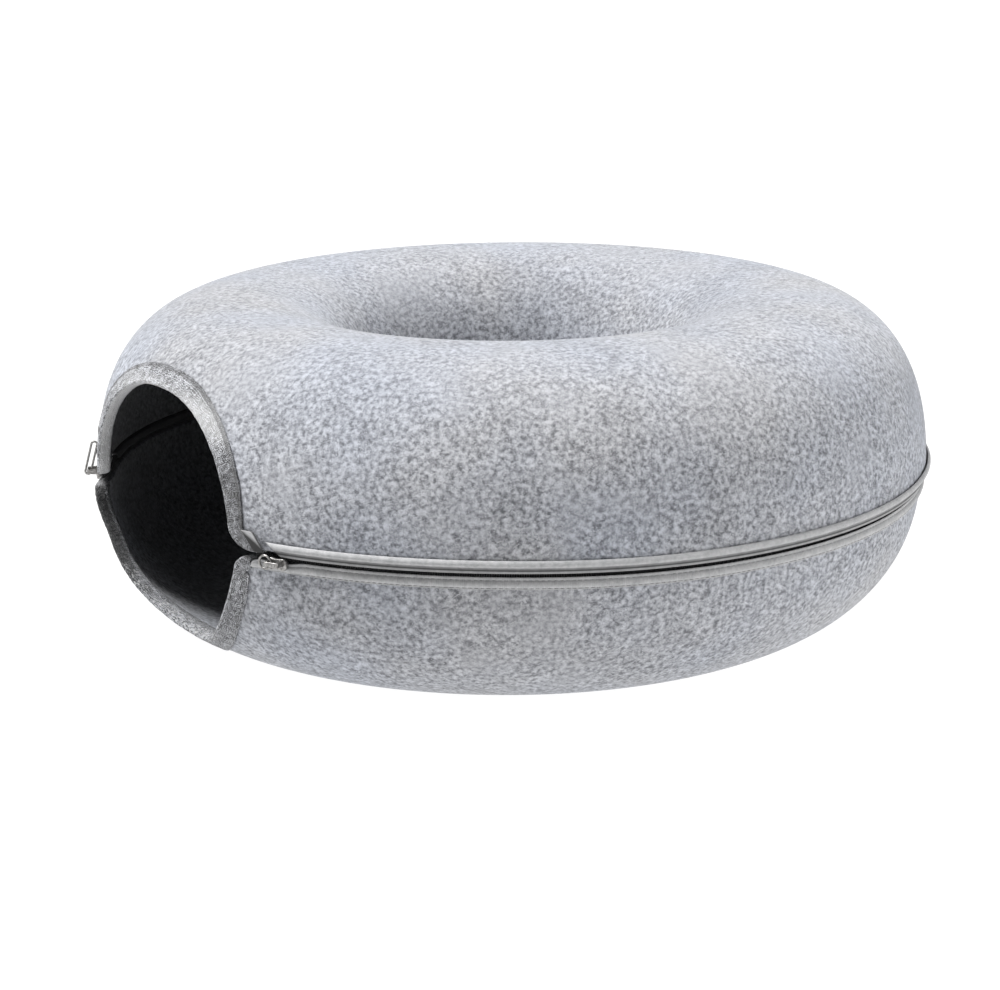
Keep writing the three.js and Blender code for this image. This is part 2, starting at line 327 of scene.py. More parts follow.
# %% Spin the shells
TURNS, SECTION_STEPS = 192, 66
FELT_EDGE_ROUNDING = 1.2 * MM
NECK_HALF_GAP = 0.15 * MM


def spin_shell(name, line):
    """A felt shell spun from its section line, which becomes the shell's outside."""
    shell = draw_line(name, [(r, 0, z) for r, z in even_points(line, SECTION_STEPS)])
    bpy.ops.mesh.spin(steps=TURNS, angle=2 * math.pi, center=(0, 0, 0), axis=(0, 0, 1))
    close_up(shell)
    thicken = shell.modifiers.new("felt", "SOLIDIFY")
    thicken.thickness = FELT
    thicken.offset = -1
    thicken.use_even_offset = True
    add_rounding(shell, FELT_EDGE_ROUNDING, 60)
    apply_modifiers(shell)
    return shell


above_edge = upper_line[upper_line[:, 1] >= UPPER_EDGE]
above_edge[-1, 1] = NECK_HEIGHT + NECK_HALF_GAP
below_edge = lower_line[(lower_line[:, 1] <= LOWER_EDGE) | (lower_line[:, 0] < BASE_INNER)]
below_edge[-1, 1] = NECK_HEIGHT - NECK_HALF_GAP
felt_upper, felt_lower = spin_shell("felt_upper", above_edge), spin_shell("felt_lower", below_edge)
move_points(felt_lower, splay)
for shell in (felt_upper, felt_lower):
    print(shell.name, count_faces(shell), "triangles,", [round(d / MM, 1) for d in shell.dimensions], "mm")

# %% [markdown]
# ## The outline of the entrance
# Seen square on, the cut is half an oval above the zip and a shallower half below it. It ends in
# small round corners and level feet along the zip. The same function gives the line of the cut
# and, with an inset, any line at that distance inside the felt, such as the binding's free edge.

# %% Entrance outline
HALF_WIDTH = 87 * MM
ARCH = {"side": 1, "reach": 75 * MM, "fullness": 2.25, "corner": 14 * MM, "edge": UPPER_EDGE}
HOLLOW = {"side": -1, "reach": 73 * MM, "fullness": 1.85, "corner": 8 * MM, "edge": LOWER_EDGE}
OVAL_STEPS, CORNER_STEPS, FOOT_STEPS = 100, 16, 14
HALF_STEPS = OVAL_STEPS + CORNER_STEPS + FOOT_STEPS


def half_outline(form, inset, foot_end):
    """Sideways place and height from the oval's middle to the end of its foot."""
    side, reach, fullness, corner = (form[k] for k in ("side", "reach", "fullness", "corner"))
    corner_height = form["edge"] + side * corner
    rise = abs(corner_height - ZIP_HEIGHT) / reach
    leg = HALF_WIDTH * (1 - rise**fullness) ** (1 / fullness)
    inset_oval, inset_corner, inset_foot = np.split(inset, [OVAL_STEPS, OVAL_STEPS + CORNER_STEPS])
    lowest = math.asin((abs(corner_height + side * corner / 2 - ZIP_HEIGHT) / reach) ** (fullness / 2))
    angle = np.linspace(math.pi / 2, lowest, OVAL_STEPS)
    oval = np.column_stack((
        (HALF_WIDTH + inset_oval) * np.cos(angle) ** (2 / fullness),
        ZIP_HEIGHT + side * (reach + inset_oval) * np.sin(angle) ** (2 / fullness),
    ))
    turn = np.linspace(0, math.pi / 2, CORNER_STEPS)
    radius = np.maximum(corner - inset_corner, 0)
    beyond = np.maximum(inset_corner - corner, 0)
    bend = np.column_stack((
        leg + corner + beyond - radius * np.cos(turn),
        corner_height + side * beyond - side * radius * np.sin(turn),
    ))
    share = np.linspace(0, 1, FOOT_STEPS + 1)[1:]
    foot = np.column_stack((bend[-1, 0] * (1 - share) + foot_end * share, form["edge"] + side * inset_foot))
    return np.vstack((oval, bend, foot))


def outline(form, inset, right_end, left_end):
    """The whole line, from the end of the left foot over the oval to the end of the right one."""
    inset = np.broadcast_to(inset, 2 * HALF_STEPS - 1)
    right = half_outline(form, inset[HALF_STEPS - 1:], right_end)
    left = half_outline(form, inset[:HALF_STEPS][::-1], left_end) * (-1, 1)
    return np.vstack((left[::-1][:-1], right))


to_bed = Matrix.Rotation(ENTRANCE_AZIMUTH, 3, "Z")


def from_entrance(points):
    """Points given outwards, sideways and up at the entrance, turned to their place on the bed."""
    return np.asarray(points) @ np.array(to_bed).T


ARCH_FOOT = HALF_WIDTH + 40 * MM
arch_line = outline(ARCH, 0, ARCH_FOOT, ARCH_FOOT)
print("arch is", round(2 * ARCH_FOOT / MM), "mm across its feet, top at", round(arch_line[:, 1].max() / MM))

# %% [markdown]
# The cutter is that outline, closed below, filled with one face and extruded outwards through
# the felt. It is only a tool, so it is removed once the Boolean is applied.

# %% Cut the entrance
CUT_FROM, CUT_DEPTH, CUT_HALF_WIDTH, CUT_PAST_EDGE = (v * MM for v in (180, 110, 130, 30))


def cut_entrance(shell, form):
    past = form["edge"] - form["side"] * CUT_PAST_EDGE
    line = outline(form, 0, CUT_HALF_WIDTH, CUT_HALF_WIDTH)
    line = np.vstack((line, (line[-1, 0], past), (line[0, 0], past)))
    places = from_entrance(np.column_stack((np.full(len(line), CUT_FROM), line)))
    cutter = draw_line("cutter", [tuple(p) for p in places])
    bpy.ops.mesh.edge_face_add()
    outwards = tuple(to_bed @ Vector((CUT_DEPTH, 0, 0)))
    bpy.ops.mesh.extrude_region_move(TRANSFORM_OT_translate={"value": outwards})
    close_up(cutter)
    cut = shell.modifiers.new("entrance", "BOOLEAN")
    cut.object = cutter
    cut.solver = "EXACT"
    apply_modifiers(shell)
    bpy.data.objects.remove(cutter)


for shell, form in ((felt_upper, ARCH), (felt_lower, HOLLOW)):
    cut_entrance(shell, form)
    smooth(shell)
    print(shell.name, "cut,", count_faces(shell), "triangles")

# %% [markdown]
# Deep in the tunnel the felt is darkened with painted shade, which stands in for the light that
# doesn't reach in there, so the finish has to know which face a point is on. So every point gets
# a value, 0 outside and at the mouth and 1 deep in the tunnel, worked out from where the point lies
# and which way its face looks. High up the painted shade begins nearer to the mouth.

# %% Paint shade inside the tunnel
TUNNEL_RADIUS, TUNNEL_HEIGHT = 165 * MM, 98 * MM
MOUTH_DEPTH, DARK_DEPTH = 196 * MM, 172 * MM
SHADE_LEAN, LEAN_FROM = 0.6, 20 * MM
LOOKS_IN = -0.4  # cosine of the widest angle between a face and the tunnel's middle


def paint_tunnel_shade(shell):
    """Writes the painted shade's value on the shell's points and gives the share that looks into the tunnel.
    """
    places, facing = read_points(shell), read_points(shell, "normal")
    inwards = around(TUNNEL_RADIUS, np.arctan2(places[:, 1], places[:, 0]), TUNNEL_HEIGHT) - places
    inwards /= np.linalg.norm(inwards, axis=1)[:, None]
    looks_in = np.einsum("ij,ij->i", facing, inwards) > LOOKS_IN
    outwards = places @ np.array(to_bed)[:, 0] - SHADE_LEAN * (places[:, 2] - LEAN_FROM)
    inside = shell.data.attributes.new("inside", "FLOAT", "POINT")
    inside.data.foreach_set("value", (looks_in * ease(outwards, MOUTH_DEPTH, DARK_DEPTH)).astype(np.float32))
    return looks_in.mean()


for shell in (felt_upper, felt_lower):
    print(shell.name, "has", round(100 * paint_tunnel_shade(shell)), "% of its points on the inner face")

# %% [markdown]
# ## Tape on the felt
# Binding and zip tape are strips of woven tape, cut flat and then folded on. So each starts as a
# flat grid whose map keeps the strip's own length and width, for the weave to follow. Its points
# are then laid where the fold puts them, and Solidify gives the cloth its thickness.

# %% Lay a tape
TAPE_THICKNESS = 0.8 * MM


def lay_tape(name, places, thickness):
    """A tape through places, an array of across by along by 3, with a map in metres."""
    across, along = places.shape[:2]
    clear_selection()
    bpy.ops.mesh.primitive_grid_add(x_subdivisions=along - 1, y_subdivisions=across - 1, size=1)
    tape = named(name)
    flat = read_points(tape) + 0.5
    column = np.rint(flat[:, 0] * (along - 1)).astype(int)
    row = np.rint(flat[:, 1] * (across - 1)).astype(int)
    move_points(tape, lambda points: places[row, column])
    long_steps = np.linalg.norm(np.diff(places, axis=1), axis=2)
    wide_steps = np.linalg.norm(np.diff(places, axis=0), axis=2)
    length, width = long_steps.sum(axis=1).max(), wide_steps.sum(axis=0).max()
    run = np.append(0, np.cumsum(long_steps.mean(axis=0)))
    rise = np.append(0, np.cumsum(wide_steps.mean(axis=1)))
    corner = np.empty(len(tape.data.loops), dtype=np.int32)
    tape.data.loops.foreach_get("vertex_index", corner)
    cloth = tape.data.uv_layers.active.data
    cloth.foreach_set("uv", np.column_stack((run[column[corner]], rise[row[corner]])).ravel())
    thicken = tape.modifiers.new("cloth", "SOLIDIFY")
    thicken.thickness = thickness
    thicken.offset = 1
    refine = tape.modifiers.new("soft", "SUBSURF")
    refine.levels = refine.render_levels = 1
    return tape, width, length


print("tape is", TAPE_THICKNESS / MM, "mm thick")

# %% [markdown]
# ## Points on the felt near the entrance
# A place on the binding is known by its sideways place, its height and its depth below the felt's
# face. The section line, moved in by that depth, gives the radius at that height, and from that
# comes how far out the point lies. On the lower lip the splay is added in a few rounds.

# %% Surface at the entrance
SPLAY_ROUNDS = 6


def radius_at(line, height, depth):
    """Radius of the felt's face at a height, after moving it inwards by depth."""
    inward = normals_of(line)
    if inward[0, 0] > 0:
        inward = -inward
    moved = line + inward * depth
    order = np.argsort(moved[:, 1])
    return np.interp(height, moved[order, 1], moved[order, 0])


def on_felt(form, sideways, height, depth):
    """The place on the bed of points at a sideways place, height and depth at the entrance."""
    base = radius = radius_at(shoulder if form is ARCH else belly, height, depth)
    for _ in range(SPLAY_ROUNDS if form is HOLLOW else 1):
        outwards = np.sqrt(np.maximum(radius**2 - sideways**2, 0))
        place = from_entrance(np.column_stack((outwards, sideways, height)))
        if form is HOLLOW:
            before = place * np.column_stack((base / radius, base / radius, np.ones_like(base)))
            radius = np.hypot(*splay(before)[:, :2].T)
    return place


sample = on_felt(HOLLOW, np.zeros(1), np.array([40 * MM]), 0)[0]
print("lip's middle is", round(math.hypot(sample[0], sample[1]) / MM, 1), "mm from the axis")

# %% [markdown]
# ## The binding
# A ribbed tape is folded over the cut edge and stitched through near its two free edges, where
# the stitches pull it down. Its width is measured on the felt, so the inset of each line grows
# where the felt slopes away. Towards its feet the tape is gathered to less than half its width,
# as it has to turn the small corner there and end beside the zip.

# %% Fold the binding
BINDING_FOLD = [  # inset from the cut edge, and height over the nearer face of the felt, in millimetres
    (11.5, 0.15), (10.9, 0.2), (9.9, 0.12), (8.8, 0.25), (6.5, 0.35), (4.6, 0.3), (3.7, 0.15),
    (2.9, 0.3), (1.6, 0.45), (0.5, 0.55), (-0.45, 0.2), (-0.75, -1.1),
]
FOOT_SHARE, GATHERED_STEPS = 0.42, CORNER_STEPS + FOOT_STEPS + 10
KNOBS = 0.45 * MM
SEAM_INSET = 9.9 * MM
FORMS = {"binding_upper": ARCH, "binding_lower": HOLLOW}
FEET = {"binding_upper": (104.5 * MM, 123.5 * MM), "binding_lower": (96.5 * MM, 96.5 * MM)}


def inset_scale(form, depth, feet):
    """How much an inset grows along the outline for a tape of even width on the sloping felt."""
    edge, near = (outline(form, inset, *feet) for inset in (0, MM))
    on_face = [on_felt(form, *line.T, depth) for line in (edge, near)]
    return np.linalg.norm(near - edge, axis=1) / np.linalg.norm(on_face[1] - on_face[0], axis=1)


def gathering():
    """The share of its width that the tape keeps along the line, as it is pulled in at its feet."""
    half = np.ones(HALF_STEPS)
    half[-GATHERED_STEPS:] = 1 - (1 - FOOT_SHARE) * ease(np.linspace(0, 1, GATHERED_STEPS))
    return np.concatenate((half[::-1][:-1], half))


def binding_line(name, inset, over, inside=False):
    """One line along the binding, on the outside or the inside of the felt."""
    form, feet = FORMS[name], FEET[name]
    if inset > 0:
        inset = inset * inset_scale(form, FELT if inside else 0, feet) * gathering()
    return on_felt(form, *outline(form, inset, *feet).T, FELT + over if inside else -over)


def fold_binding(name):
    """The tape's lines, down the outside, round the middle of the cut edge and up the inside."""
    lines = [binding_line(name, inset * MM, over * MM) for inset, over in BINDING_FOLD]
    lines.append(binding_line(name, BINDING_FOLD[-1][0] * MM, -FELT / 2))
    lines += [binding_line(name, inset * MM, over * MM, True) for inset, over in BINDING_FOLD[::-1]]
    return lay_tape(name + "_tape", np.array(lines)[:: FORMS[name]["side"]], -TAPE_THICKNESS)


def roughen(piece, height):
    """Raises single points by chance, like the loops of a knit, away from the side they look to."""
    normals = read_points(piece, "normal")
    raised = np.random.default_rng(5).random(len(normals)) ** 2 * height
    move_points(piece, lambda points: points - normals * raised[:, None])


bindings = {name: fold_binding(name) for name in FORMS}
for tape, width, length in bindings.values():
    roughen(tape, KNOBS)
    print(tape.name, "is", round(width / MM), "by", round(length / MM), "mm,", count_faces(tape), "triangles")

# %% [markdown]
# ## The zip
# Above the zip the tape hangs down behind the coil, comes out over it and is rolled into a proud
# rounded fold. Below, it is turned over a low lip and stitched down. Each follows its own section
# round the bed, from one side of the entrance to the other, in steps that are shorter at its ends.
# The fold begins on a slant, and the lower tape's end is cut to a round corner.

# %% Lay the zip tapes
ZIP_STEPS = 430
END_STEPS_SHORTER = 0.7
ZIP_CLOTH = 0.6 * MM
FOLD_ENDS, TAPE_ENDS = (104.8 * MM, 123.8 * MM), (96.8 * MM, 96.8 * MM)
FOLD_EDGE, FOLD_CREASE = (0.15, 2.4), (0.67, 5.5)
FOLD_SECTION = [  # radius past the felt's face and height past the zip line, in millimetres
    (-7.0, -0.4), (-7.0, 0.6), (-6.95, 1.7), (-6.7, 2.5), (-6.2, 2.7), (-4.2, 2.7), (-2.2, 2.7),
    (-0.9, 2.65), (-0.3, 2.5), FOLD_EDGE, (0.5, 2.5), (0.7, 3.0), (0.8, 3.7), (0.78, 4.5),
    (0.7, 5.1), FOLD_CREASE, (1.1, 5.75), (1.9, 6.15), (2.6, 6.9), (2.75, 7.8), (2.4, 8.8),
    (1.75, 9.4), (1.2, 9.7), (0.85, 9.65),
]
LIP_EDGE, LIP_CREASE = (1.05, 0.02), (1.35, -1.8)
TAPE_SECTION = [
    (-4.6, -2.2), (-2.4, -2.2), (-0.5, -2.15), (0.1, -1.9), (0.3, -1.3), (0.4, -0.7), (0.65, -0.2),
    LIP_EDGE, (1.4, -0.12), (1.6, -0.5), (1.6, -1.0), (1.5, -1.45), LIP_CREASE, (1.6, -2.3),
    (2.05, -3.0), (2.25, -3.8), (2.15, -4.7), (1.75, -5.4), (1.25, -5.9), (1.05, -6.2), (1.2, -6.55),
    (1.15, -7.0),
]
FLAT_TAPE = 0.9
TUCK_LENGTH, TUCK_LENGTH_LEFT, TUCK_SLANT, TUCK_RISE = (v * MM for v in (4.4, 8, 13, 3))
ROUND_CORNER, PARTED_FROM, PARTED_TO = 9 * MM, 27 * MM, 34 * MM
CORNER_TOP, PARTED_TOP, LIP_FLOOR = -4.8, -1.2, -2.1
LIP_BACK, LIP_STEP = 0.5, 0.3


def tuck(from_end, past, height):
    """Presses the fold flat on the felt at its ends."""
    flat = min(past, FLAT_TAPE)
    return flat + (past - flat) * ease(from_end, 0, TUCK_RISE), height


def round_off(from_end, past, height):
    """Draws the lip of the lower tape down to a round corner, and lower where the slider parts it."""
    if past < 0:
        return past, height
    bottom, lip_top = TAPE_SECTION[-1][1], LIP_EDGE[1]
    arc = np.sqrt(1 - (1 - np.clip(from_end / ROUND_CORNER, 0, 1)) ** 2)
    closed = np.clip((from_end - PARTED_FROM) / (PARTED_TO - PARTED_FROM), 0, 1)
    top = CORNER_TOP + (PARTED_TOP - CORNER_TOP) * arc + (lip_top - PARTED_TOP) * closed
    if past < LIP_BACK:
        return past, np.maximum(np.minimum(height, top - LIP_STEP), LIP_FLOOR)
    return past, bottom + (height - bottom) * (top - bottom) / (lip_top - bottom)


def ring_places(section, radius, right_end, left_end, ends=None, slant=0):
    """Places of a section carried round the bed, its ends on a slant and shaped where asked."""
    start, end = math.asin(right_end / radius), 2 * math.pi - math.asin(left_end / radius)
    if slant:
        start += TUCK_LENGTH / radius
        end -= TUCK_LENGTH_LEFT / radius
    share = np.linspace(0, 1, ZIP_STEPS)
    share -= END_STEPS_SHORTER * np.sin(2 * math.pi * share) / (2 * math.pi)
    rows = []
    for past, height in section:
        shift = slant * (1 - max(height, 0) / FOLD_SECTION[-1][1]) / radius
        angle = start + shift + (end - start - 2 * shift) * share
        if ends:
            past, height = ends(radius * np.minimum(angle - angle[0], angle[-1] - angle), past, height)
        rows.append(around(radius + MM * past, angle + ENTRANCE_AZIMUTH, ZIP_HEIGHT + MM * height))
    return np.array(rows)


fold_places = ring_places(FOLD_SECTION, BED_RADIUS, *FOLD_ENDS, tuck, TUCK_SLANT)
tape_places = ring_places(TAPE_SECTION, LOWER_RADIUS, *TAPE_ENDS, round_off)
zip_fold = lay_tape("zip_fold", fold_places, -ZIP_CLOTH)
zip_tape = lay_tape("zip_tape", tape_places, ZIP_CLOTH)
for tape, width, length in (zip_fold, zip_tape):
    print(tape.name, "is", round(width / MM, 1), "by", round(length / MM), "mm")

# %% [markdown]
# The two ends of the rolled strip are folded flat in two and laid up on a slant over the feet of
# the arch's binding, where the stitching holds them. Each shows as a short pale tab.

# %% Fold the zip's ends
TAB_STEPS = 14
TAB_TOP, TAB_BOTTOM = (-11, -2, 14.5), (-1.4, 5.6, 3.7)  # left edge, right edge and height, in millimetres
TAB_BULGE, TAB_LIFT, LEFT_TAB_SHIFT = 0.8, 1.45, 3.5
TAB_TURN, TAB_FREE_EDGE = 7.5, 15.4  # how far across the cloth they lie
TAB_FOLD = [  # share of the tab's width, and height over the binding in millimetres
    (0.92, 0.75), (0.6, 0.75), (0.3, 0.75), (0.08, 0.78), (0.0, 0.86), (0.08, 0.94), (0.3, 0.99),
    (0.6, 1.0), (0.9, 0.97), (1.0, 0.9),
]


def end_tab(name, side, ring_end, shift):
    """A tab at the right (1) or left (-1) end of the fold, shifted along the ring."""
    start = math.asin(ring_end / BED_RADIUS)
    along = np.linspace(0, 1, TAB_STEPS)
    left, right, height = (a + (b - a) * along for a, b in zip(TAB_TOP, TAB_BOTTOM))
    z = ZIP_HEIGHT + (height + TAB_BULGE * np.sin(math.pi * along) * (1 - along)) * MM
    rows = []
    for share, over in TAB_FOLD:
        arc = (left + (right - left) * share + shift) * MM
        angle = ENTRANCE_AZIMUTH + side * (start + arc / BED_RADIUS)
        rows.append(around(radius_at(shoulder, z, 0) + (TAB_LIFT + over) * MM, angle, z))
    return lay_tape(name, np.array(rows), side * ZIP_CLOTH)


tabs = [
    end_tab("zip_end_right", 1, FOLD_ENDS[0], 0),
    end_tab("zip_end_left", -1, FOLD_ENDS[1], LEFT_TAB_SHIFT),
]
for tape, width, length in tabs:
    print(tape.name, "is", round(width / MM, 1), "by", round(length / MM, 1), "mm")

# %% [markdown]
# The coil between the tapes is nylon wire, wound into small upright loops that lock together. One
# loop is a small flattened torus, and copies of it are set side by side all along the zip, each
# second one a little higher, as the two halves of the coil are.

# %% Wind the coil
COIL_PITCH, LOOP_RADIUS, WIRE, COIL_STEP = (v * MM for v in (1.3, 1.25, 0.34, 0.28))
LOOP_STRETCH = (1.1, 1, 1)
COIL_RADIUS, COIL_START, COIL_HEIGHT = 245.4 * MM, 99 * MM, ZIP_HEIGHT + 0.4 * MM


def stretched(name, stretch):
    """The primitive just added, named, turned in its own mesh and then stretched."""
    piece = named(name)
    bpy.ops.object.transform_apply(location=False, rotation=True, scale=False)
    shape(piece)
    bpy.ops.transform.resize(value=stretch)
    return put_down(piece)


def one_loop():
    clear_selection()
    bpy.ops.mesh.primitive_torus_add(
        major_segments=8, minor_segments=4, major_radius=LOOP_RADIUS, minor_radius=WIRE,
        rotation=(math.pi / 2, 0, 0),
    )
    return stretched("zip_coil_loops", LOOP_STRETCH)


def repeat(pattern, matrices):
    """One piece made of copies of a small one, each with its own mesh, set by matrices."""
    points = read_points(pattern)
    points = np.column_stack((points, np.ones(len(points))))
    faces = [tuple(face.vertices) for face in pattern.data.polygons]
    all_points, all_faces = [], []
    for matrix in matrices:
        first = len(all_points) * len(points)
        all_points.append((points @ np.array(matrix).T)[:, :3])
        all_faces += [tuple(first + v for v in face) for face in faces]
    mesh = bpy.data.meshes.new(pattern.name)
    mesh.from_pydata(np.vstack(all_points).tolist(), [], all_faces)
    pattern.data = mesh
    return pattern


def standing_at(radius, angle, height):
    """The matrix that sets a small piece at a place round the bed, its X outwards."""
    return Matrix.Translation(around(radius, angle, height)[0]) @ Matrix.Rotation(angle, 4, "Z")


def coil_places():
    start = math.asin(COIL_START / COIL_RADIUS)
    for k in range(int((2 * math.pi - 2 * start) * COIL_RADIUS / COIL_PITCH)):
        angle = ENTRANCE_AZIMUTH + start + k * COIL_PITCH / COIL_RADIUS
        yield standing_at(COIL_RADIUS, angle, COIL_HEIGHT + (COIL_STEP if k % 2 else -COIL_STEP))


coil = repeat(one_loop(), coil_places())
print(coil.name, count_faces(coil), "triangles")

# %% [markdown]
# ## Stitches
# A lockstitch shows as short threads that lie in the cloth, with their ends sunk in it. One such
# thread is a small stretched sphere. It is copied along each seam, turned to the seam's direction
# and lying flat on the cloth, and each seam is one piece.

# %% Sew a seam
STITCH_LENGTH, STITCH_PITCH, THREAD = 2.5 * MM, 3.2 * MM, 0.5 * MM
SEAM_OVER = (1.05 * MM, 2.05 * MM)
LOOK_AHEAD = 0.5 * MM
ZIP_SEAMS, ZIP_SEAM_END = ((1.1, -6.2), (1.38, -1.8)), 128 * MM


def one_stitch(name):
    clear_selection()
    bpy.ops.mesh.primitive_uv_sphere_add(segments=6, ring_count=5, radius=0.5, rotation=(0, math.pi / 2, 0))
    return stretched(name, (STITCH_LENGTH, THREAD, THREAD))


def thread_matrix(place, along, up):
    """Sets a thread at a place, its X along the seam and its Z away from the cloth."""
    x, z = Vector(along).normalized(), Vector(up).normalized()
    y = z.cross(x).normalized()
    matrix = Matrix((x, y, x.cross(y))).transposed().to_4x4()
    matrix.translation = place
    return matrix


def sew(line, above):
    """Stitches along a line, turned away from the cloth towards the line above it."""
    run = run_along(line)
    count = int(run[-1] / STITCH_PITCH)
    at = (np.arange(count) + 0.5) * run[-1] / count
    place, up, ahead, behind = (
        np.column_stack([np.interp(at + shift, run, table[:, k]) for k in range(3)])
        for shift, table in ((0, line), (0, above - line), (LOOK_AHEAD, line), (-LOOK_AHEAD, line))
    )
    return repeat(one_stitch("row"), map(thread_matrix, place, ahead - behind, up))


def join(pieces, name):
    clear_selection()
    for piece in pieces:
        piece.select_set(True)
    bpy.context.view_layer.objects.active = pieces[0]
    bpy.ops.object.join()
    return named(name)


seams = []
for name in FORMS:
    rows = [
        sew(*(binding_line(name, SEAM_INSET, over, inside) for over in SEAM_OVER))
        for inside in (False, True)
    ]
    seams.append(join(rows, name + "_stitches"))
rows = [
    sew(*ring_places([(past, height), (past + 1, height)], LOWER_RADIUS, ZIP_SEAM_END, ZIP_SEAM_END))
    for past, height in ZIP_SEAMS
]
seams.append(join(rows, "zip_stitches"))
print([(seam.name, count_faces(seam)) for seam in seams])

# %% [markdown]
# A bar tack crosses each leg of the arch's binding a little above the zip, and it keeps the tape
# from sliding down. It is one zigzag sewn over another, so its threads cross in small diamonds.

# %% Tack the binding
TACK_HEIGHT, TACK_HALF = 124 * MM, 2.2 * MM
TACK_INSETS = np.linspace(1.2, 10.6, 6) * MM
TACK_OVER = (1.4 * MM, 2.4 * MM)


def tack_matrices(side, phase):
    """Matrices for the stitches of one zigzag on the right (1) or left (-1) leg."""
    corners = []
    for k, inset in enumerate(TACK_INSETS):
        line, above = (binding_line("binding_upper", inset, over) for over in TACK_OVER)
        sideways = line @ np.array(to_bed)[:, 1] * side
        rise = TACK_HEIGHT + (TACK_HALF if (k + phase) % 2 else -TACK_HALF)
        near = np.argmin(abs(line[:, 2] - rise) + (sideways < 0))
        near = np.clip(near, 1, len(line) - 2)
        step = 1 if line[near + 1, 2] > line[near, 2] else -1
        share = (rise - line[near, 2]) / (line[near + step, 2] - line[near, 2])
        corners.append((line[near] + share * (line[near + step] - line[near]), above[near] - line[near]))
    for (start, up), (end, _) in zip(corners[:-1], corners[1:]):
        longer = np.linalg.norm(end - start) / STITCH_LENGTH
        yield thread_matrix((start + end) / 2, end - start, up) @ Matrix.Scale(longer, 4, (1, 0, 0))


zigzags = [repeat(one_stitch("zigzag"), tack_matrices(side, phase)) for side in (1, -1) for phase in (0, 1)]
tacks = join(zigzags, "bar_tacks")
print(tacks.name, count_faces(tacks), "triangles")

# %% [markdown]
# In the neck of the hole the two shells meet edge to edge. They are whipped together there with
# upright stitches that cross the join, on the side that shows.

# %% Whip the neck seam
WHIP_PITCH, WHIP_SINK = 5 * MM, 0.1 * MM
WHIP_LEAN, WHIP_LONGER = math.radians(-12), 2


def whip_matrices():
    lean = Matrix.Rotation(WHIP_LEAN, 4, "X") @ Matrix.Rotation(math.pi / 2, 4, "Y")
    count = round(2 * math.pi * NECK_RADIUS / WHIP_PITCH)
    for angle in 2 * math.pi * np.arange(count) / count:
        upright = standing_at(NECK_RADIUS - WHIP_SINK, angle, NECK_HEIGHT) @ lean
        yield upright @ Matrix.Scale(WHIP_LONGER, 4, (1, 0, 0))


neck_stitches = repeat(one_stitch("neck_stitches"), whip_matrices())
print(neck_stitches.name, count_faces(neck_stitches), "triangles")

# %% [markdown]
# ## Sliders and pulls
# Each slider is a small cast plate with two shoulders, a bridge over it and a tongue between the
# tapes. The plate starts as a cube whose ends are drawn in, and its face is inset and raised. The
# bridge is a bar whose two ends are extruded down to the plate.

# %% Cast a slider
SLIDER_ANGLE = math.radians(27.7)
PLATE = Vector((2, 12, 6.8)) * MM
PLATE_MIDDLE = ZIP_HEIGHT - 1.4 * MM
PLATE_CUTS = (-0.34, -0.12, 0.12, 0.34)  # shares of the plate's length
PLATE_WIDTHS = {0.5: 0.55, -0.5: 0.5, 0.12: 0.86, -0.12: 0.86}
PLATE_RIM, PLATE_RAISED = 0.9 * MM, 0.35 * MM
TONGUE = Vector((2.6, 3, 2)) * MM
TONGUE_REACH, TONGUE_HEIGHT = 0.6 * MM, ZIP_HEIGHT + 0.35 * MM
TONGUE_TAPER, LEG_FLARE = 0.7, 1.3
BRIDGE_SPAN, BRIDGE_LEG, BRIDGE_WIDTH = (v * MM for v in (9.2, 1.1, 2.6))
BRIDGE_WINDOW, BRIDGE_BEAM, BRIDGE_RISE, BRIDGE_SINK = (v * MM for v in (5, 1, 1.2, 0.4))
BRIDGE_TOP = PLATE.x + BRIDGE_WINDOW + BRIDGE_BEAM / 2
BRIDGE_INNER = BRIDGE_SPAN / 2 - BRIDGE_LEG
CAST_ROUNDING = 0.35 * MM
SLIDER_SEAT = LOWER_RADIUS + 2.9 * MM


def select(piece, kind, wanted):
    """Selects the points (VERT) or faces (FACE) that wanted accepts, in edit mode."""
    bpy.ops.mesh.select_mode(type=kind)
    bpy.ops.mesh.select_all(action="DESELECT")
    cage = bmesh.from_edit_mesh(piece.data)
    for part in cage.verts if kind == "VERT" else cage.faces:
        part.select_set(bool(wanted(part)))
    if kind == "VERT":
        cage.select_flush(True)
    bmesh.update_edit_mesh(piece.data)


def cube(name, size, middle):
    """A block in edit mode, of a size and round a middle."""
    clear_selection()
    bpy.ops.mesh.primitive_cube_add(size=1)
    block = named(name)
    shape(block)
    bpy.ops.transform.resize(value=tuple(size))
    bpy.ops.transform.translate(value=tuple(middle))
    return block


def score(places):
    """Cuts new edges across the whole piece at places along Y."""
    for place in places:
        bpy.ops.mesh.select_all(action="SELECT")
        bpy.ops.mesh.bisect(plane_co=(0, place, 0), plane_no=(0, 1, 0))


def slider_plate(name):
    plate = cube(name, PLATE, (PLATE.x / 2, 0, 0))
    score(place * PLATE.y for place in PLATE_CUTS)
    for end, narrow in PLATE_WIDTHS.items():
        select(plate, "VERT", lambda point: abs(point.co.y - end * PLATE.y) < 0.1 * MM)
        bpy.ops.transform.resize(value=(1, 1, narrow))
    select(plate, "FACE", lambda face: face.normal.x > 0.9)
    bpy.ops.mesh.inset(thickness=PLATE_RIM, depth=0)
    bpy.ops.transform.translate(value=(PLATE_RAISED, 0, 0))
    return put_down(plate)


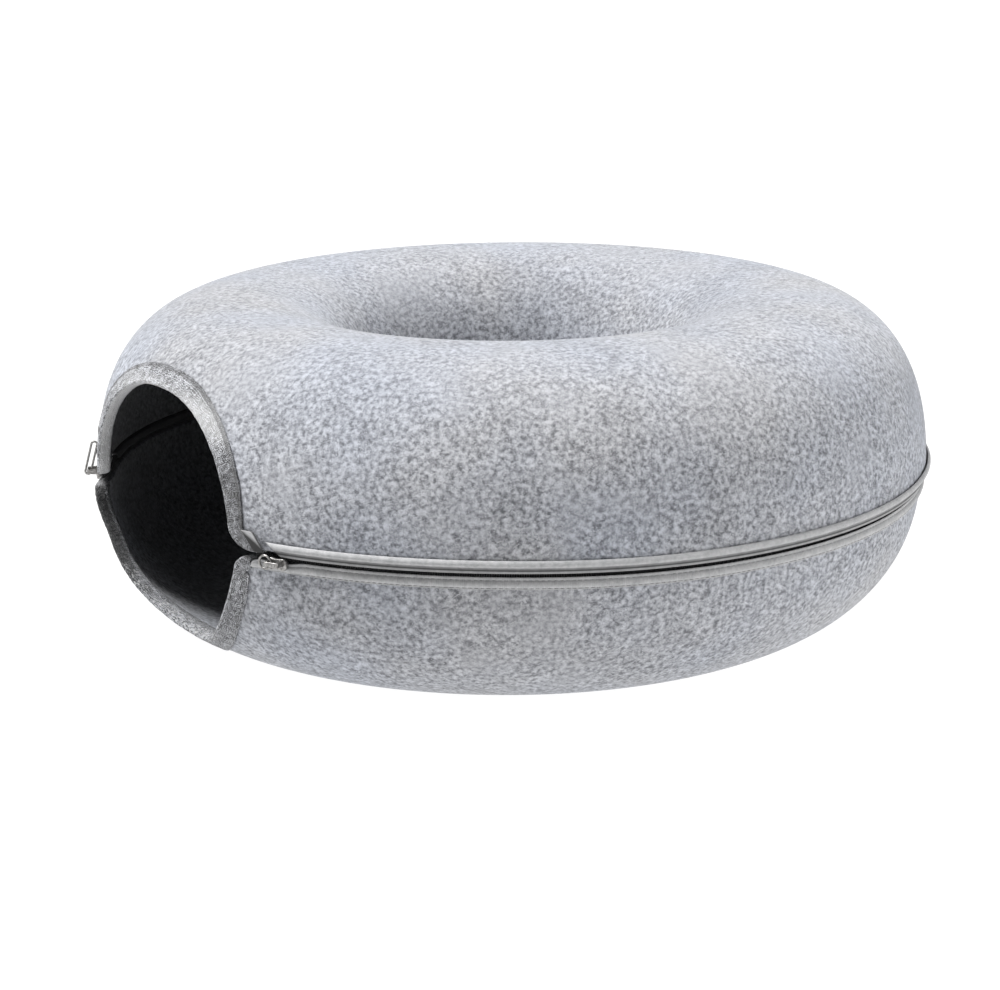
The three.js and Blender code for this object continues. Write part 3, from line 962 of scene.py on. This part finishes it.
def slider_tongue(name):
    tongue = cube(name, TONGUE, (TONGUE_REACH - TONGUE.x / 2, 0, TONGUE_HEIGHT - PLATE_MIDDLE))
    select(tongue, "FACE", lambda face: face.normal.x < -0.9)
    bpy.ops.transform.resize(value=(1, TONGUE_TAPER, TONGUE_TAPER))
    return put_down(tongue)


def slider_bridge(name):
    bridge = cube(name, (BRIDGE_BEAM, BRIDGE_SPAN, BRIDGE_WIDTH), (BRIDGE_TOP, 0, BRIDGE_RISE))
    score((-BRIDGE_INNER, BRIDGE_INNER))
    select(bridge, "FACE", lambda f: f.normal.x < -0.9 and abs(f.calc_center_median().y) > BRIDGE_INNER)
    down = (BRIDGE_SINK - BRIDGE_WINDOW, 0, 0)
    bpy.ops.mesh.extrude_region_move(TRANSFORM_OT_translate={"value": down})
    bpy.ops.transform.resize(value=(1, 1, LEG_FLARE))
    return put_down(bridge)


def cast_slider(name):
    slider = join([slider_plate(name), slider_tongue("tongue"), slider_bridge("bridge")], name)
    add_rounding(slider, CAST_ROUNDING, 35)
    apply_modifiers(slider)
    smooth(slider, 50)
    return slider


def set_on_zip(piece, end):
    """Moves a piece's points from the slider's frame to its place on the zip, right 1 or left -1."""
    place = np.array(standing_at(SLIDER_SEAT, ENTRANCE_AZIMUTH + SLIDER_ANGLE * end, PLATE_MIDDLE))
    move_points(piece, lambda points: points @ place[:3, :3].T + place[:3, 3])
    return piece


SIDES = {"right": 1, "left": -1}
sliders = [set_on_zip(cast_slider("slider_" + side + "_cast"), end) for side, end in SIDES.items()]
print([(slider.name, count_faces(slider)) for slider in sliders])

# %% [markdown]
# The pulls are bent from wire, and their butted ends leave a hairline joint. A ring is a small
# circle spun not quite all the way round. The long loop is the same ring with its halves drawn
# apart, leaning in against the binding.

# %% Bend the wire pulls
WIRE_RADIUS, RING_RADIUS, LOOP_HALF_DEPTH, LOOP_HALF_HEIGHT, LOOP_DROP = (
    v * MM for v in (0.65, 3.6, 1.7, 10.3, 2.3)
)
RING_PAST_LEG = 0.6 * MM
LOOP_TILT, JOINT_ANGLE = math.radians(15), math.radians(3)


def wire_ring(name, radius):
    """A ring round the X axis in edit mode, its joint at the lowest point."""
    clear_selection()
    bpy.ops.mesh.primitive_circle_add(vertices=12, radius=WIRE_RADIUS, fill_type="NGON")
    ring = named(name)
    shape(ring)
    bpy.ops.transform.rotate(value=math.pi / 2, orient_axis="X", center_override=(0, 0, 0))
    bpy.ops.transform.translate(value=(0, JOINT_ANGLE / 2 * radius, -radius))
    bpy.ops.mesh.spin(steps=44, angle=2 * math.pi - JOINT_ANGLE, center=(0, 0, 0), axis=(1, 0, 0))
    close_up(ring)
    smooth(ring, 60)
    shape(ring)
    return ring


def ring_pull():
    ring = wire_ring("pull_right_ring", RING_RADIUS)
    sideways = RING_PAST_LEG + WIRE_RADIUS - BRIDGE_INNER - RING_RADIUS
    bpy.ops.transform.translate(value=(PLATE.x + BRIDGE_WINDOW / 2, sideways, BRIDGE_RISE))
    return put_down(ring)


def loop_pull():
    loop = wire_ring("pull_left_loop", LOOP_HALF_DEPTH)
    bpy.ops.transform.rotate(value=math.pi / 2, orient_axis="Z", center_override=(0, 0, 0))
    select(loop, "VERT", lambda point: point.co.z > 0.01 * MM)
    bpy.ops.transform.translate(value=(0, 0, 2 * (LOOP_HALF_HEIGHT - LOOP_HALF_DEPTH)))
    bpy.ops.mesh.select_all(action="SELECT")
    bpy.ops.transform.translate(value=(0, 0, LOOP_HALF_DEPTH - LOOP_DROP))
    bpy.ops.transform.rotate(value=LOOP_TILT, orient_axis="Y", center_override=(0, 0, 0))
    bpy.ops.transform.translate(value=(BRIDGE_TOP, 0, BRIDGE_RISE))
    return put_down(loop)


pulls = [set_on_zip(ring_pull(), 1), set_on_zip(loop_pull(), -1)]
for pull, side in zip(pulls, SIDES):
    low = Vector(read_points(pull).min(axis=0))
    off = (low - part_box("pull_" + side)[0]).length
    print(pull.name, "is", round(off / MM, 2), "mm from its solid's corner")

# %% [markdown]
# ## Settling
# At its front right the rim has sunk a little, so the zip runs lower there than at the left. All
# the pieces near the rim sink together, by a smooth amount that dies out above, below and around.
# The top left corner of the lower lip also curls outwards, where the parted zip pulls at it.

# %% Let the rim settle
SINK = 1.7 * MM
SINK_AZIMUTH, SINK_ANGLE, SINK_RISE = math.radians(322), math.radians(36), 55 * MM
SINK_REACH = 0.3
CURL = 5 * MM
CURL_RISE, CURL_TOP = (58 * MM, 88 * MM), (96 * MM, 94.5 * MM)
CURL_LEFT, CURL_END = (40 * MM, 75 * MM), (112 * MM, 88 * MM)


def settle(points):
    x, y, z = points.T
    share = np.exp(-((turned_from(SINK_AZIMUTH, x, y) / SINK_ANGLE) ** 4))
    share *= np.exp(-(((z - ZIP_HEIGHT) / SINK_RISE) ** 2))
    outer = np.clip(np.hypot(x, y) / CROWN_RADIUS - 1, 0, SINK_REACH) / SINK_REACH
    return np.column_stack((x, y, z - SINK * share * outer))


def curl(points):
    outwards, sideways, z = (points @ np.array(to_bed)).T
    radius = np.hypot(outwards, sideways)
    share = ease(z, *CURL_RISE) * ease(z, *CURL_TOP)
    share *= ease(-sideways, *CURL_LEFT) * ease(-sideways, *CURL_END)
    share *= (outwards > 0) * (radius > CROWN_RADIUS)
    scale = 1 + CURL * share / np.maximum(radius, MM)
    return points * np.column_stack((scale, scale, np.ones_like(z)))


for piece in (felt_upper, felt_lower, zip_fold[0], zip_tape[0], coil, seams[2]):
    move_points(piece, settle)
for piece in (felt_lower, bindings["binding_lower"][0], seams[1], zip_tape[0], coil):
    move_points(piece, curl)
print("the rim sinks by", SINK / MM, "mm at azimuth", round(math.degrees(SINK_AZIMUTH)))
print("the lip's corner curls out by", CURL / MM, "mm")

# %% [markdown]
# ## Finishes
# Felt is made of tangled fibres in several greys, so it looks mottled at arm's length and hairy up
# close. Two sizes of noise give the mottling, and noise stretched thin in three directions gives
# the fibres. All of it reads Object coordinates in metres, so that it has the real scale.

# %% Felt


class Finish:
    """A material under construction, with short calls that add and link its nodes."""

    def __init__(self, name):
        self.material = bpy.data.materials.new(name)
        self.material.use_nodes = True
        self.tree = self.material.node_tree
        self.coordinates = self.tree.nodes.new("ShaderNodeTexCoord").outputs

    def put(self, socket, value):
        if isinstance(value, bpy.types.NodeSocket):
            self.tree.links.new(value, socket)
        else:
            socket.default_value = value

    def fill(self, node, inputs):
        for key, value in inputs.items():
            self.put(node.inputs[key.replace("_", " ")], value)
        return node

    def look(self, **inputs):
        """Sets or links inputs of the surface, and gives the material."""
        self.fill(self.tree.nodes["Principled BSDF"], inputs)
        return self.material

    def node(self, kind, settings=None, **inputs):
        made = self.tree.nodes.new(kind)
        for key, value in (settings or {}).items():
            setattr(made, key, value)
        return self.fill(made, inputs)

    def in_order(self, node, *values):
        for socket, value in zip(node.inputs, values):
            self.put(socket, value)
        return node.outputs[0]

    def noise(self, scale, detail=2.0, roughness=0.5, vector=None, distortion=0.0):
        made = self.node("ShaderNodeTexNoise", Scale=scale, Detail=detail, Roughness=roughness)
        self.fill(made, {"Vector": vector or self.coordinates["Object"], "Distortion": distortion})
        return made.outputs["Fac"]

    def math(self, operation, first, *others):
        """Maths on one value, or on it and each of the others in turn."""
        for other in others or (0.0,):
            first = self.in_order(self.node("ShaderNodeMath", {"operation": operation}), first, other)
        return first

    def times(self, *values):
        return self.math("MULTIPLY", *values)

    def total(self, *weighted):
        """The sum of values, each times its weight."""
        return self.math("ADD", *(self.times(value, weight) for value, weight in weighted))

    def remap(self, value, low, high, to_low=0.0, to_high=1.0):
        return self.in_order(self.node("ShaderNodeMapRange"), value, low, high, to_low, to_high)

    def mix(self, share, first, second, blend="MIX"):
        made = self.node("ShaderNodeMix", {"data_type": "RGBA", "blend_type": blend})
        for place, value in ((0, share), (6, first), (7, second)):
            self.put(made.inputs[place], value)
        return made.outputs[2]

    def bump(self, height, distance, strength=1.0):
        made = self.node("ShaderNodeBump", Height=height, Distance=distance, Strength=strength)
        return made.outputs["Normal"]

    def split(self, coordinates):
        return self.node("ShaderNodeSeparateXYZ", Vector=self.coordinates[coordinates]).outputs


def grey(value, blue=0.0):
    """A grey as linear colour, a little bluer where blue is above zero."""
    return (value * (1 - blue / 2), value * (1 - blue / 6), value * (1 + blue), 1)


PALE_TURNS = ((0.3, 1.2, 0.2), (1.5, 0.2, 1.0), (0.9, 2.2, 2.0))
DARK_TURNS = ((2.1, 0.7, 0.4), (0.2, 1.9, 1.4), (1.1, 0.1, 2.6))


def fibres(finish, scale, turns):
    """Thin streaks in several directions, bright where any of them has a fibre."""
    streaks = []
    for turn in turns:
        turned = finish.node(
            "ShaderNodeMapping",
            {"vector_type": "TEXTURE"},
            Vector=finish.coordinates["Object"],
            Rotation=turn,
            Scale=(1 / scale, 1 / scale, 9 / scale),
        )
        streaks.append(finish.noise(1, 1, 0.5, turned.outputs["Vector"], 0.6))
    return finish.math("MAXIMUM", *streaks)


def felt_finish():
    felt = Finish("needled felt")
    blotches, grains = felt.noise(385, 1, 0.4, distortion=0.2), felt.noise(800, 2, 0.6)
    cloudy, tinted = felt.noise(24, 3, 0.6), felt.noise(11, 2, 0.5)
    light_fibres, dark_fibres = fibres(felt, 1000, PALE_TURNS), fibres(felt, 900, DARK_TURNS)
    mottling = felt.remap(felt.total((blotches, 0.68), (grains, 0.32)), 0.34, 0.66)
    colour = felt.mix(mottling, grey(0.14, 0.09), grey(0.56, 0.06))
    colour = felt.mix(felt.remap(light_fibres, 0.62, 0.74, 0, 0.5), colour, grey(0.68, 0.05))
    colour = felt.mix(felt.remap(dark_fibres, 0.64, 0.76, 0, 0.5), colour, grey(0.09, 0.1))
    calm = felt.remap(felt.split("Object")["Z"], 150 * MM, 190 * MM, 0, 0.25)
    calm = felt.math("ADD", calm, felt.remap(cloudy, 0.5, 0.7, 0, 0.4))
    colour = felt.mix(calm, colour, grey(0.36, 0.07))
    tint = felt.mix(felt.remap(tinted, 0.35, 0.65), (0.965, 0.99, 1.03, 1), (1.015, 1.005, 0.985, 1))
    colour = felt.mix(1, colour, tint, "MULTIPLY")
    shade = felt.remap(cloudy, 0.3, 0.5, 0.88, 1)
    shades = felt.node("ShaderNodeCombineXYZ", X=shade, Y=shade, Z=shade).outputs[0]
    colour = felt.mix(1, colour, shades, "MULTIPLY")
    # painted shade: deep in the tunnel the felt is darkened towards black, in place of the light that doesn't
    # reach in
    inside = felt.node("ShaderNodeAttribute", {"attribute_name": "inside"}).outputs["Fac"]
    colour = felt.mix(felt.times(inside, 0.5), colour, grey(0.01))
    relief = felt.bump(felt.total((mottling, 0.6), (light_fibres, 0.35)), 0.36 * MM, 0.8)
    return felt.look(Base_Color=colour, Roughness=0.95, Sheen_Weight=0.18, Sheen_Roughness=0.6, Normal=relief)


felt_material = felt_finish()
print(felt_material.name, "has", len(felt_material.node_tree.nodes), "nodes")

# %% [markdown]
# The zip's tape is woven with thick weft threads, which show as fine ribs across the strip. The
# binding is a knobbly knit, so its loops show as small diamonds. Both maps are in metres, so the
# pattern keeps its pitch along every bend, and what lies between the threads is in shade.

# %% Woven tape


def weave(tape, along, across, pitch):
    """Ribs across a tape, from 0 between the threads to 1 on top of them."""
    return tape.remap(tape.math("SINE", tape.times(along, 2 * math.pi / pitch)), -1, 1)


def knit(tape, along, across, pitch):
    """Small diamonds, from 0 between the loops to 1 on top of them."""
    slants = [tape.math(operation, along, across) for operation in ("ADD", "SUBTRACT")]
    waves = [tape.math("SINE", tape.times(slant, 2 * math.pi / pitch)) for slant in slants]
    return tape.remap(tape.times(*waves), -0.5, 0.7)


def tape_finish(name, dark, light, pattern, pitch, depth, contrast, spread):
    """A tape's finish as far as its pattern, its colour and its relief, which may be added to."""
    tape = Finish(name)
    tape.along, tape.across, _ = tape.split("UV")
    threads = pattern(tape, *(
        tape.math("ADD", line, tape.remap(tape.noise(scale, 1.5, 0.5), 0, 1, -0.9 * pitch, 0.9 * pitch))
        for line, scale in ((tape.along, 330), (tape.across, 260))
    ), pitch)
    uneven, patches = tape.noise(450, 2, 0.55), tape.noise(170, 2, 0.5)
    shade = tape.total((threads, contrast), (uneven, 0.55), (patches, 0.35))
    middle = 0.45 + contrast / 2
    colour = tape.mix(tape.remap(shade, middle - spread, middle + spread), dark, light)
    hairs = fibres(tape, 1300, PALE_TURNS)
    tape.colour = tape.mix(tape.remap(hairs, 0.66, 0.78, 0, 0.35), colour, grey(0.6))
    relief = tape.bump(tape.total((threads, 1), (uneven, 0.8)), depth, 0.9)
    tape.look(Roughness=0.85, Sheen_Weight=0.1, Normal=relief)
    return tape


def binding_finish(middle):
    """The binding, with a painted highlight along its rim, painted light high on the right, painted shade low
    down, on the left lip and along its free edges, and pale specks near its rim, most low down.
    """
    greys = grey(0.06, 0.03), grey(0.74, 0.05)
    tape = tape_finish("binding tape", *greys, knit, 2.0 * MM, 0.5 * MM, 0.3, 0.13)
    x, y, z = tape.split("Object")
    right = to_bed @ Vector((0, 1, 0)) / MM
    height = tape.times(z, 1 / MM)
    off_middle = tape.times(tape.math("ABSOLUTE", tape.math("SUBTRACT", tape.across, middle)), 1 / MM)
    left = tape.remap(tape.total((x, right.x), (y, right.y)), -70, -20, 1, 0)
    # painted shade: darker low down on the legs, less on the lower lip and least at its bottom, and left out
    # on the left leg above the zip
    low = tape.math(
        "MINIMUM", tape.remap(height, 134, 152, 0.5, 0), tape.remap(height, 86, 96, 0.24, 0.46),
        tape.remap(height, 8, 35, 0.1, 0.46),
    )
    leg = tape.times(left, tape.remap(height, 93, 97))
    low = tape.times(low, tape.remap(leg, 0, 1, 1, 0))
    # painted shade: the left side of the lower lip is darkened most, towards its rim
    lip = tape.times(tape.remap(height, 12, 30), tape.remap(height, 89, 93, 1, 0))
    lip = tape.times(lip, tape.remap(off_middle, 2.8, 4.4, 0.93, 0.5))
    colour = tape.mix(tape.math("MAXIMUM", low, tape.times(left, lip)), tape.colour, grey(0.02))
    # painted light: the binding is paler between 144 and 172 mm up, except on the left
    pale = tape.times(tape.remap(height, 144, 154), tape.remap(height, 162, 172, 1, 0))
    colour = tape.mix(tape.times(pale, tape.remap(left, 0, 1, 0.45, 0)), colour, grey(0.8))
    # painted highlight along the rim above the zip; pale specks near the rim, most low down, are mixed in
    # with it
    rim_highlight = tape.times(tape.remap(off_middle, 4.0, 4.9, 0.75, 0), tape.remap(height, 88, 97))
    specks = tape.times(tape.remap(tape.noise(620, 1, 0.5), 0.56, 0.66), tape.remap(height, 38, 50, 0.7, 0.1))
    specks = tape.times(specks, tape.remap(off_middle, 3, 6, 1, 0))
    colour = tape.mix(tape.math("MAXIMUM", rim_highlight, specks), colour, grey(0.7))
    # painted shade: a dark line along both free edges, where the tape meets the felt
    edge = tape.remap(off_middle, middle / MM - 2.9, middle / MM - 2.1, 0, 0.5)
    return tape.look(Base_Color=tape.mix(edge, colour, grey(0.07)))


def run_to(section, corner):
    """How far along its section a tape reaches one of its corners, in millimetres."""
    return run_along(section[: section.index(corner) + 1])[-1]


def zip_cloth(name):
    """The zip's woven cloth, with its length and width in millimetres."""
    tape = tape_finish(name, grey(0.33, 0.02), grey(0.54, 0.01), weave, 0.9 * MM, 0.06 * MM, 0.12, 0.2)
    return tape, tape.times(tape.along, 1 / MM), tape.times(tape.across, 1 / MM)


def zip_finish(name, section, edge, crease, band_shade, roll_shade):
    """The zip's tape with painted shade: darkest inside its edge, dark in its crease, and darker on the cloth
    before the crease and on the rolled cloth just past it.
    """
    tape, along, across = zip_cloth(name)
    edge, crease = run_to(section, edge), run_to(section, crease)
    # painted shade on the cloth before the crease, on the rolled cloth just past it and in the crease itself
    below = tape.remap(across, crease - 0.2, crease, band_shade, 0)
    above = tape.remap(across, crease, crease + 3.6, roll_shade, 0)
    above = tape.times(above, tape.math("GREATER_THAN", across, crease))
    off_crease = tape.math("ABSOLUTE", tape.math("SUBTRACT", across, crease))
    shade = tape.math("MAXIMUM", below, above)
    shade = tape.math("ADD", shade, tape.remap(off_crease, 0, 0.7, roll_shade, 0))
    colour = tape.mix(tape.math("MINIMUM", shade, 0.9), tape.colour, grey(0.03))
    # painted shade: the flange inside the edge, which lies in shade, is made nearly black
    flange_shade = tape.remap(across, edge - 0.6, edge, 0.92, 0)
    flange_shade = tape.times(flange_shade, tape.remap(across, edge - 3.2, edge - 2.6, 0.7, 1))
    return tape.look(Base_Color=tape.mix(flange_shade, colour, grey(0.02)))


def tab_finish(name, turned, free):
    """A tab of the zip's tape, with painted shade on a slant past its turned edge, and along its free edge.
    """
    tape, along, across = zip_cloth(name)
    # painted shade on a slant past the turned edge
    slanting = tape.math("SUBTRACT", across, tape.times(along, 0.75))
    shaded = tape.remap(slanting, turned - 1, turned + 2.4, 0.99, 0)
    # painted shade along the free edge
    free_edge_shade = tape.remap(across, free - 1.3, free - 0.4, 0, 0.88)
    return tape.look(Base_Color=tape.mix(tape.math("MAXIMUM", shaded, free_edge_shade), tape.colour, grey(0.02)))


binding_material = binding_finish(bindings["binding_upper"][1] / 2)
# the last two numbers are the painted shade before the crease and on the roll
fold_material = zip_finish("fold tape", FOLD_SECTION, FOLD_EDGE, FOLD_CREASE, 0.3, 0.8)
lower_material = zip_finish("lower tape", TAPE_SECTION, LIP_EDGE, LIP_CREASE, 0.1, 0.2)
tab_material = tab_finish("tab tape", TAB_TURN, TAB_FREE_EDGE)
print([m.name for m in (binding_material, fold_material, lower_material, tab_material)])

# %% [markdown]
# Thread, nylon and metal are plainer. The thread has a twist, the nylon of the coil is dark and
# half matt, and the sliders are zinc with a satin nickel coat, worn a little and dull in places.

# %% Thread, nylon and nickel


def thread_finish():
    thread = Finish("thread")
    twist = thread.noise(2200, 1, 0.5)
    colour = thread.mix(thread.remap(twist, 0.35, 0.65), grey(0.12), grey(0.3))
    return thread.look(Base_Color=colour, Roughness=0.7, Normal=thread.bump(twist, 0.1 * MM, 0.8))


def nylon_finish():
    nylon = Finish("coil nylon")
    speckle = nylon.noise(900, 2, 0.5)
    colour = nylon.mix(speckle, grey(0.012), grey(0.05))
    return nylon.look(Base_Color=colour, Roughness=nylon.remap(speckle, 0.3, 0.7, 0.4, 0.6))


def nickel_finish():
    nickel = Finish("satin nickel")
    wear = nickel.noise(700, 3, 0.6)
    tint = nickel.mix(nickel.remap(wear, 0.4, 0.7), (0.4, 0.39, 0.38, 1), (0.15, 0.145, 0.14, 1))
    roughness = nickel.remap(wear, 0.35, 0.7, 0.3, 0.55)
    relief = nickel.bump(wear, 0.03 * MM, 0.4)
    return nickel.look(Base_Color=tint, Metallic=1, Roughness=roughness, Normal=relief)


thread_material, nylon_material, nickel_material = thread_finish(), nylon_finish(), nickel_finish()
print("thread, nylon and nickel made")

# %% [markdown]
# ## Bringing it together
# Every piece gets its finish, hides the solid that it stands for where there is one, and rides on the bed.

# %% Dress the bed
WARDROBE = [
    (felt_upper, felt_material, "upper_shell", "felt"),
    (felt_lower, felt_material, "lower_shell", "felt"),
    (bindings["binding_upper"][0], binding_material, "binding_upper", "binding_tape"),
    (bindings["binding_lower"][0], binding_material, "binding_lower", "binding_tape"),
    (zip_fold[0], fold_material, "zip_tape_upper", "zip_tape"),
    (zip_tape[0], lower_material, "zip_tape_lower", "zip_tape"),
    (tabs[0][0], tab_material, None, "zip_tape"),
    (tabs[1][0], tab_material, None, "zip_tape"),
    (coil, nylon_material, "zip_coil", "coil"),
    (seams[0], thread_material, None, "binding_tape"),
    (seams[1], thread_material, None, "binding_tape"),
    (seams[2], thread_material, None, "zip_tape"),
    (neck_stitches, thread_material, None, "felt"),
    (tacks, thread_material, None, "binding_tape"),
]
for slider, pull, side in zip(sliders, pulls, SIDES):
    WARDROBE += [
        (slider, nickel_material, "slider_" + side, "slider_metal"),
        (pull, nickel_material, "pull_" + side, "slider_metal"),
    ]
for piece, material, node, slot in WARDROBE:
    piece.data.materials.clear()
    piece.data.materials.append(material)
    if node:
        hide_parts(node)
    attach(piece, "root")

# %% [markdown]
# The felt and the tapes are sheets of cloth, and the flat size that each was cut to is worked out and
# printed. Pressing a round blank over the form draws its middle out, so a shell has more area.

DRAWN_OUT = 1.1
LEAST_COVER = 0.3


def area_of(piece):
    return sum(face.area for face in piece.data.polygons)


for piece, on in ((felt_upper, ["lower_shell"]), (felt_lower, [])):
    area = area_of(piece) / 2 / DRAWN_OUT
    blank = 2 * math.sqrt(area / math.pi)
    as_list(on)
    print(piece.name, "cut from a round of", round(blank / MM), "mm")

for (piece, width, length), on, stitches in (
    (bindings["binding_upper"], ["upper_shell"], [seams[0]]),
    (bindings["binding_lower"], ["lower_shell"], [seams[1]]),
    (zip_fold, ["upper_shell"], ()),
    (tabs[0], ["binding_upper"], ()),
    (tabs[1], ["binding_upper"], ()),
    (zip_tape, ["lower_shell"], [seams[2]]),
):
    area = min(max(area_of(piece), LEAST_COVER * width * length), width * length)
    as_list(on)
    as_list(stitches)
    print(piece.name, "cut", round(width / MM, 1), "by", round(length / MM), "mm")

# %% [markdown]
# ## Studio
# The bed stands on a plain white floor that runs out of the picture. Most of the light comes from
# a wide source high on the left, so the crown is bright and the side is a middle grey. A very wide
# one low on the right and two weak ones, overhead and in front, lighten the rest. The floor glows a
# little, so that it stays white and throws light up on to the belly.

# %% Floor and light
FLOOR_SIZE, FLOOR_DROP = 30, 0.4 * MM
FLOOR_GREY, FLOOR_GLOW = 0.1, 0.96
LIGHT_DISTANCE = 2
LIGHTS = [  # name, degrees to the camera's right, elevation, degrees across, strength
    ("top", -100, 62, 25, 4.95),
    ("overhead", 0, 90, 60, 0.45),
    ("right", 85, 8, 70, 2.9),
    ("front", -35, 4, 60, 0.45),
]
SURROUNDINGS = 0.03


def lay_floor():
    clear_selection()
    bpy.ops.mesh.primitive_plane_add(size=FLOOR_SIZE, location=(0, 0, -FLOOR_DROP))
    ground = named("floor")
    pale = Finish("pale floor")
    pale.look(Base_Color=grey(FLOOR_GREY), Roughness=0.9)
    pale.look(Emission_Color=grey(1), Emission_Strength=FLOOR_GLOW)
    ground.data.materials.append(pale.material)
    ground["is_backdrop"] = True


def soft_light(name, azimuth, elevation, width, strength):
    """A very large, distant light, width degrees across, seen from the camera's side."""
    clear_selection()
    a, e = CAMERA_AZIMUTH + math.radians(azimuth), math.radians(elevation)
    towards = Vector((math.sin(a) * math.cos(e), -math.cos(a) * math.cos(e), math.sin(e)))
    bpy.ops.object.light_add(type="SUN", location=tuple(AIM_POINT + towards * LIGHT_DISTANCE))
    light = bpy.context.object
    light.name = name
    light.rotation_euler = (-towards).to_track_quat("-Z", "Y").to_euler()
    light.data.angle = math.radians(width)
    light.data.energy = strength


def surroundings(strength):
    world = bpy.context.scene.world or bpy.data.worlds.new("studio")
    bpy.context.scene.world = world
    world.use_nodes = True
    background = world.node_tree.nodes["Background"]
    background.inputs["Color"].default_value = (1, 1, 1, 1)
    background.inputs["Strength"].default_value = strength


lay_floor()
for light in LIGHTS:
    soft_light(*light)
surroundings(SURROUNDINGS)
bpy.context.scene.view_settings.view_transform = "Standard"
print("studio lit by", len(LIGHTS), "lights")

# %% [markdown]
# ## The visual box
# The box round the visual model is measured and printed.

# %% Measure and finish
visual_low, visual_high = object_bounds()
print("visual box", [[round(c / MM, 1) for c in corner] for corner in (visual_low, visual_high)])
